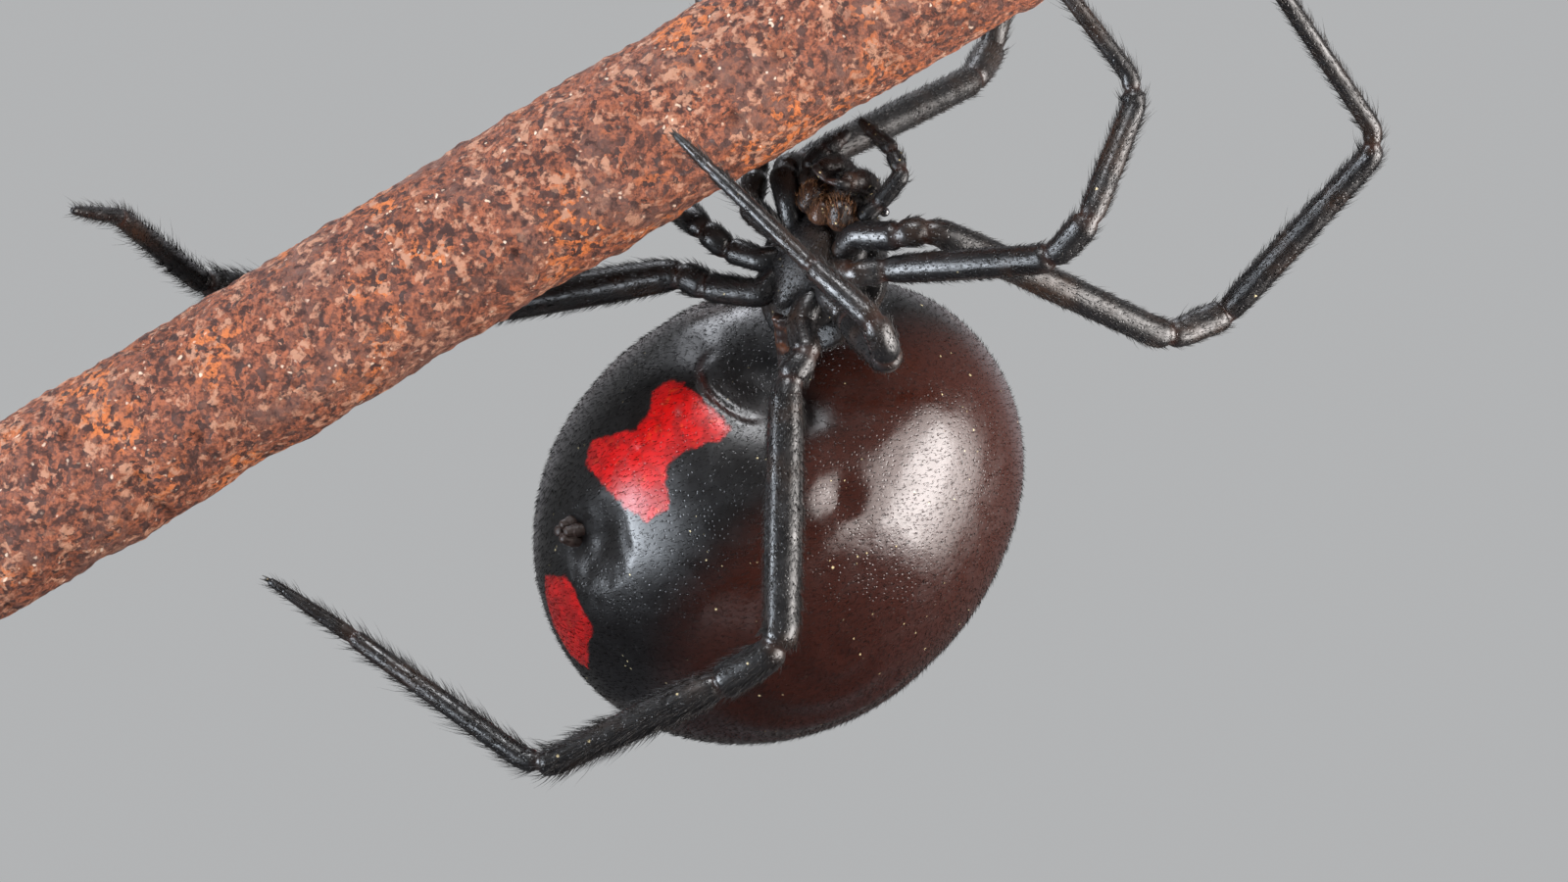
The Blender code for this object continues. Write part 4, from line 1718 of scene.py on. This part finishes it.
@dataclass
class Head:
    """The front body: carapace, sternum, stalk, jaws, mouth lobes, feelers and eyes.

    The stalk's radius and the hairs' least and most length are in mm, and their lean in degrees.
    """

    finishes: HeadFinishes
    carapace_half: tuple[float, float] = (1.65 * MM, 1.42 * MM)
    carapace_height: float = 0.98 * MM
    carapace_underside: float = 0.22 * MM
    carapace_rise: float = 0.85 * MM
    sternum_half: Triple = (0.95 * MM, 0.60 * MM, 0.25 * MM)
    stalk_radius: float = 0.22
    eye_radius: float = 0.1 * MM
    hair_lean: tuple[float, float] = (25.0, 55.0)
    hair_lengths: tuple[float, float] = (0.08, 0.14)
    hair_radius: float = 0.0055 * MM

    def carapace_place(self, ways: Array) -> Array:
        """Return the carapace's surface, narrower and higher in front, with a groove and spokes.

        Args:
            ways: Unit directions from its middle.

        Returns:
            One place for each direction.
        """
        ahead, left, up = ways.T
        narrow = 1.0 - 0.34 * smooth_step(ahead, 0.1, 0.9)
        lift = 1.0 + 0.12 * smooth_step(ahead, 0.15, 0.55)
        groove = 1.0 - 0.16 * np.exp(-(((ahead + 0.3) / 0.22) ** 2) - (left / 0.25) ** 2)
        from_groove = smooth_step(np.hypot(ahead + 0.3, left), 0.15, 0.5)
        spokes = 0.03 * np.cos(8.0 * np.arctan2(left, ahead + 0.3)) * from_groove
        height = np.where(up > 0, self.carapace_height * lift * (groove + spokes), self.carapace_underside)
        local = (ahead * self.carapace_half[0], left * self.carapace_half[1] * narrow, up * height)
        centre = STERNUM_CENTRE + HEAD_AXES[2] * (self.carapace_rise + self.carapace_underside)
        return centre + np.stack(local, axis=1) @ HEAD_AXES

    def sternum_place(self, ways: Array) -> Array:
        """Return the sternum's surface, a low shield pointed behind with a bay for each coxa."""
        ahead, left, up = ways.T
        taper = 1.0 - 0.42 * smooth_step(-ahead * 1.1)
        bays = 1.0 - 0.07 * np.cos(ahead * 11.0) * smooth_step(np.abs(left), 0.4, 0.9)
        long, wide, thick = self.sternum_half
        local = np.stack((ahead * long, left * wide * taper * bays, thick + up * thick), axis=1)
        return STERNUM_CENTRE + local @ HEAD_AXES

    def core_place(self, ways: Array) -> Array:
        """Return the dark soft body that fills the middle between the plates and the leg roots."""
        return head_point(0.1, 0.0, 0.72) + ways * np.array((1.45, 1.05, 0.5)) @ HEAD_AXES * MM

    def face_place(self, ways: Array) -> Array:
        """Return the front of the head behind the jaws and mouth lobes."""
        return head_point(1.45, 0.0, 0.62) + ways * np.array((0.42, 0.62, 0.40)) @ HEAD_AXES * MM

    def build_plates(self) -> None:
        """Model the plates of the head and the soft body between them."""
        shell, mouth = self.finishes.shell, self.finishes.mouth
        for name, place, rings, segments, finish, nodes in (
            ("carapace_shell", self.carapace_place, 72, 96, shell, ("carapace",)),
            ("sternum_shell", self.sternum_place, 48, 72, shell, ("sternum",)),
            ("body_core", self.core_place, 36, 48, shell, ()),
            ("face_core", self.face_place, 36, 48, mouth, ()),
        ):
            piece, _ = ball_piece(name, place, rings, segments)
            finish_piece(piece, finish, nodes)

    def build_plate_hair(
        self, name: str, place: PlaceAt, count: int, axis: int, sign: float, limit: float
    ) -> None:
        """Model short hairs that lean back over one of the plates.

        Args:
            name: Name of the piece.
            place: Turns unit directions into places on the plate.
            count: Hairs all around it, before those at its hidden side are left out.
            axis: Axis of the head that points to its hidden side, or away from it.
            sign: 1 where the hairs stand beyond the limit on that axis, -1 where they stand before it.
            limit: Where the hairs end on that axis, for unit directions.
        """
        random = np.random.default_rng(count)
        ways = even_ways(count, 0.03, random)
        ways = ways[(ways[:, axis] - limit) * sign > 0.0]
        outward = ball_normal(place, ways)
        forward = HEAD_AXES[0]
        back = unit(-forward + outward * (outward @ forward)[:, None] + random.normal(0.0, 0.3, ways.shape))
        lean = np.radians(random.uniform(*self.hair_lean, len(ways)))[:, None]
        coat = Coat(
            roots=place(ways) - outward * 0.008 * MM,
            ways=unit(outward * np.sin(lean) + back * np.cos(lean)),
            droop=back,
            lengths=random.uniform(*self.hair_lengths, len(ways)) * MM,
            patches=ball_patches(ways),
            root_radius=self.hair_radius,
        )
        finish_piece(coat.build(name), self.finishes.hair)

    def build_stalk(self, abdomen: Abdomen) -> None:
        """Model the wrinkled stalk between the two halves of the body.

        Args:
            abdomen: The hind body, in which it ends.
        """
        start = head_point(-1.05, 0.0, 0.45)
        way = belly_direction(*STALK_PLACE)
        end = abdomen.place(way[None])[0] - unit(way @ abdomen.axes) * 0.1 * MM
        route = Route(np.array((start, (start + end) / 2.0, end)), 0.02 * MM)
        noise = LatticeNoise(21)

        def radius_at(arcs: Array, angles: Array) -> Array:
            """Return the radius with its fine rings and uneven folds."""
            around = np.stack((arcs / MM, np.cos(angles), np.sin(angles)), axis=1)
            rings = 0.004 * np.sin(arcs / MM * 33.0 + 2.0 * np.sin(angles))
            wide = (self.stalk_radius + rings + 0.03 * noise.at(around, 0.3)) * MM
            return wide * domed(arcs, route.length, 0.05 * MM, 0.05 * MM)

        stalk = wrap_tube("pedicel_stalk", route, radius_at, 70, 36)
        finish_piece(stalk, MembraneFinish().make(), ("pedicel",))

    def build_side(self, side: Side) -> None:
        """Model one jaw with its fang, mouth lobe and feeler.

        Args:
            side: Side of the spider.
        """
        word = side.word
        finishes = self.finishes

        def on_side(*points: Triple) -> list[Triple]:
            """Return the left side's points on this side."""
            return [(fore, left * side.value, up) for fore, left, up in points]

        HeadTube(
            "chelicera_%s_shell" % word,
            on_side(
                (1.70, 0.31, 1.0), (1.93, 0.31, 0.72), (1.98, 0.31, 0.35), (1.92, 0.31, 0.06),
                (1.84, 0.28, -0.1),
            ),
            ((0.0, 0.16), (0.25, 0.26), (0.6, 0.25), (0.85, 0.21), (1.0, 0.15)),
            nodes=("chelicera_" + word,), hair_length=0.13, per_mm2=360.0,
        ).build(finishes.mouth, finishes.hair)
        HeadTube(
            "fang_" + word,
            on_side((1.88, 0.40, -0.06), (1.86, 0.34, -0.22), (1.80, 0.10, -0.28), (1.74, -0.12, -0.24)),
            ((0.0, 0.10), (0.3, 0.09), (0.7, 0.05), (1.0, 0.01)),
        ).build(finishes.shell, None)
        HeadTube(
            "maxilla_%s_shell" % word,
            on_side((0.98, 0.40, 0.32), (1.18, 0.39, 0.20), (1.38, 0.34, 0.12), (1.58, 0.23, 0.08)),
            ((0.0, 0.17), (0.3, 0.27), (0.7, 0.24), (1.0, 0.12)),
            nodes=("maxilla_" + word,), hair_length=0.14, per_mm2=330.0,
        ).build(finishes.mouth, finishes.golden)
        line, profile = FEELERS[side]
        HeadTube(
            "palp_%s_skin" % word, line, profile, "leg_shell",
            nodes=("palp_" + word,), hair_length=0.16, per_mm2=170.0,
        ).build(finishes.shell, finishes.hair)

    def build_eyes(self) -> None:
        """Model eight round, wet-looking eyes, each where an imported eye sits."""
        eye = PlainFinish(
            "eye_lens", colour(0.006, 0.006, 0.008),
            roughness=0.04, wander=0.1, per_metre=2000.0, bump=0.0, coat=1.0,
        ).make()
        for side, row, place in itertools.product(Side, ("front", "rear"), ("middle", "side")):
            node = "eye_%s_%s_%s" % (row, place, side.word)
            low, high = (np.array(corner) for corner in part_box(node))
            deselect_all()
            bpy.ops.mesh.primitive_uv_sphere_add(
                segments=32, ring_count=20, radius=self.eye_radius, location=tuple((low + high) / 2.0)
            )
            piece = active_piece(node + "_lens")
            bpy.ops.object.transform_apply(location=True, rotation=True, scale=True)
            finish_piece(piece, eye, (node,))

    def build(self, abdomen: Abdomen) -> None:
        """Build every piece of the front body."""
        self.build_plates()
        self.build_plate_hair("face_hair", self.face_place, 700, 0, 1.0, -0.3)
        self.build_plate_hair("sternum_hair", self.sternum_place, 1500, 2, -1.0, 0.1)
        self.build_plate_hair("carapace_hair", self.carapace_place, 2400, 2, 1.0, -0.2)
        self.build_stalk(abdomen)
        for side in Side:
            self.build_side(side)
        HeadTube(
            "labium_shell",
            ((0.92, 0.0, 0.20), (1.05, 0.0, 0.12), (1.25, 0.0, 0.10), (1.38, 0.0, 0.14)),
            ((0.0, 0.2), (0.3, 0.25), (0.75, 0.2), (1.0, 0.12)),
        ).build(self.finishes.mouth, self.finishes.golden)
        self.build_eyes()


# Twig and surroundings
@dataclass
class Perch:
    """The cut length of twig.

    Each kind of lump is a height and a wavelength in mm and a shift of the noise. Pits are in mm too.
    """

    radius: float = 1.66 * MM
    slope: float = math.radians(30.9)
    left: float = 15.6 * MM
    right: float = 15.9 * MM
    rings: int = 620
    sides: int = 128
    lumps: tuple[Triple, ...] = ((0.06, 1.3, 0.0), (0.045, 0.42, 9.0), (0.035, 0.17, 5.0))
    pit_depth: float = 0.11

    def build(self) -> None:
        """Model the twig with knobbly bark and two cut ends."""
        middle = PICTURE_CENTRE + np.array((-4.2, -0.1, 5.04)) * MM
        way = np.array((math.cos(self.slope), 0.0, math.sin(self.slope)))
        route = Route(np.array((middle - way * self.left, middle + way * self.right)), 0.1 * MM)
        noise = LatticeNoise(3)

        def bark(arcs: Array, angles: Array) -> Array:
            """Return the bark's radius, lumpy at three sizes with some pits, and zero at the ends."""
            around = np.stack((arcs / MM, np.cos(angles) * 1.7, np.sin(angles) * 1.7), axis=1)
            rise = sum(height * noise.at(around + shift, wave) for height, wave, shift in self.lumps)
            rise -= self.pit_depth * smooth_step(noise.at(around + 21.0, 0.7), 0.55, 0.85)
            swell = 1.0 + 0.012 * np.sin((arcs - self.left) * 900.0)
            edge = np.minimum(arcs, route.length - arcs) / MM
            rim = np.interp(edge, (0.0, 0.02, 0.06, 0.12), (0.0, 0.93, 0.985, 1.0))
            return (self.radius * swell + rise * MM * np.minimum(1.0, edge / 0.2)) * rim

        piece = wrap_tube("twig_bark", route, bark, self.rings, self.sides)
        arcs = along_of(piece)
        edge = np.minimum(arcs, route.length / MM - arcs)
        store(piece, "cut", (edge < 0.03).astype(float))
        finish_piece(piece, BarkFinish().make(), ("twig",))


@dataclass(frozen=True)
class Softbox:
    """A lamp that faces the middle of the spider, from a direction and a distance."""

    name: str
    way: Triple
    far: float
    size: tuple[float, float]
    power: float
    tint: Triple

    def build(self) -> None:
        """Add the lamp."""
        direction = unit(np.array(self.way))
        centre = PICTURE_CENTRE + np.array((0.5, 3.0, -1.5)) * MM
        bpy.ops.object.light_add(type="AREA", location=tuple(centre + direction * self.far))
        lamp = bpy.context.object
        lamp.name = self.name
        lamp.data.shape = "ELLIPSE"
        lamp.data.size, lamp.data.size_y = self.size
        lamp.data.energy = self.power
        lamp.data.color = self.tint
        lamp.visible_camera = False
        level = math.hypot(direction[0], direction[1])
        heading = math.atan2(direction[1], direction[0]) + math.pi / 2.0
        lamp.rotation_euler = (math.atan2(level, direction[2]), 0.0, heading)


LAMPS = (
    Softbox("key_softbox", (0.915, -0.345, -0.23), 0.10, (0.138, 0.17), 0.44, (1.0, 0.94, 0.90)),
    Softbox("core_softbox", (0.93, -0.302, -0.235), 0.095, (0.05, 0.11), 0.22, (1.0, 0.96, 0.94)),
    Softbox("left_softbox", (-0.857, -0.455, -0.242), 0.14, (0.10, 0.10), 0.38, (0.84, 0.91, 1.0)),
    Softbox("line_softbox", (-0.94, -0.335, 0.0), 0.14, (0.03, 0.12), 0.24, (0.84, 0.91, 1.0)),
    Softbox("fill_softbox", (-0.07, -0.57, 0.82), 0.16, (0.06, 0.05), 0.27, (0.96, 0.97, 1.0)),
    Softbox("top_softbox", (-0.23, 0.295, 0.927), 0.16, (0.09, 0.09), 0.18, (0.90, 0.93, 1.0)),
    Softbox("back_softbox", (0.0, 0.95, 0.30), 0.16, (0.30, 0.14), 0.03, (0.95, 0.91, 1.0)),
)


@dataclass
class Studio:
    """Camera, lights, floor and surroundings.

    Behind and before are how bright the surroundings look on each side. Above and below are how much
    light they give.
    """

    distance: float = 0.160
    frame_width: float = 0.0304
    sensor: float = 36.0
    floor_size: float = 6.0
    behind: float = 0.46
    before: float = 0.20
    above: float = 0.34
    below: float = 0.10

    def surround(self) -> None:
        """Light the surroundings, seen as a pale backdrop and brighter from above."""
        world = bpy.data.worlds.new("pale_surroundings")
        bpy.context.scene.world = world
        world.use_nodes = True
        nodes = Nodes(world.node_tree, "Generated")
        parts = nodes.add("ShaderNodeSeparateXYZ", Vector=nodes.places).outputs
        seen = nodes.tree.nodes["Background"]
        lit = nodes.tree.nodes.new("ShaderNodeBackground")
        for shader, axis, limits in (
            (seen, "Y", (*SIDE_EDGE, self.before, self.behind)),
            (lit, "Z", (*HEIGHT_EDGE, self.below, self.above)),
        ):
            nodes.fill(shader, Color=AIR, Strength=nodes.ease(parts[axis], *limits))
        is_seen = nodes.add("ShaderNodeLightPath").outputs["Is Camera Ray"]
        nodes.end_with("World Output", is_seen, lit.outputs["Background"], seen.outputs["Background"])

    def place_camera(self) -> None:
        """Set the camera level, straight before the middle of the picture."""
        where = PICTURE_CENTRE - np.array((0.0, self.distance, 0.0))
        bpy.ops.object.camera_add(location=tuple(where), rotation=(math.pi / 2.0, 0.0, 0.0))
        camera = bpy.context.object
        camera.name = "picture_camera"
        camera.data.sensor_width = self.sensor
        camera.data.lens = self.sensor * self.distance / self.frame_width
        camera.data.clip_start = 0.01
        camera.data.clip_end = 20.0
        bpy.context.scene.camera = camera

    def lay_floor(self) -> None:
        """Add the floor, which casts no shadow on the spider and shows in none of its reflections."""
        deselect_all()
        bpy.ops.mesh.primitive_plane_add(size=self.floor_size, location=(0.0, 0.0, 0.0))
        floor = active_piece("pale_floor")
        floor.visible_shadow = False
        floor.visible_glossy = False
        floor.data.materials.append(FloorFinish(self.behind, self.before).make())
        floor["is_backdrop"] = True

    def build(self) -> None:
        """Set up the picture."""
        self.place_camera()
        for lamp in LAMPS:
            lamp.build()
        self.surround()
        self.lay_floor()
        bpy.context.scene.view_settings.view_transform = "Standard"


def plain_bounds() -> list[list[float]]:
    """Return the model's present bounds as plain lists."""
    return [[float(part) for part in corner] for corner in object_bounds()]


def main() -> dict[str, object]:
    """Build every piece in order.

    Returns:
        The bounds before and after.
    """
    logging.basicConfig(level=logging.INFO, format="%(name)s %(message)s")
    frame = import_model()
    sizes = {"solids": plain_bounds()}
    deselect_all()
    shell = ShellFinish("black_shell").make()
    # The head's shells get fine pale specks that are partly dust and partly painted sparkle
    body = ShellFinish("body_shell", roughness=0.38, grain=3.2, gloss=1.33, fine_dust_and_sparkle=0.8).make()
    mouth = ShellFinish(
        "mouth_shell", dark=colour(0.008, 0.004, 0.003), warm=colour(0.050, 0.020, 0.009),
        roughness=0.36, grain=4.5, gloss=1.38, fine_dust_and_sparkle=0.9,
    ).make()
    hair = HairFinish("shell_hair").make()
    golden = HairFinish("mouth_hair", colour(0.085, 0.036, 0.014), roughness=0.4).make()
    abdomen = Abdomen()
    abdomen.build()
    Head(HeadFinishes(body, mouth, hair, golden)).build(abdomen)
    for side, pair in itertools.product(Side, LEG_PAIRS):
        leg = Leg(side, pair)
        leg.build_skin(shell)
        leg.build_claws(shell)
        leg.build_hair(hair)
    Perch().build()
    lacquer = PlainFinish(
        "stand_lacquer", colour(0.06, 0.06, 0.065),
        roughness=0.38, wander=0.06, per_metre=900.0, bump=2.0 * MICRON, coat=0.3,
    ).make()
    for name in ("stand_base", "stand_rod"):
        frame["nodes"][name].data.materials.clear()
        frame["nodes"][name].data.materials.append(lacquer)
    Studio().build()
    sizes["dressed"] = plain_bounds()
    return sizes


if __name__ == "__main__":
    main()
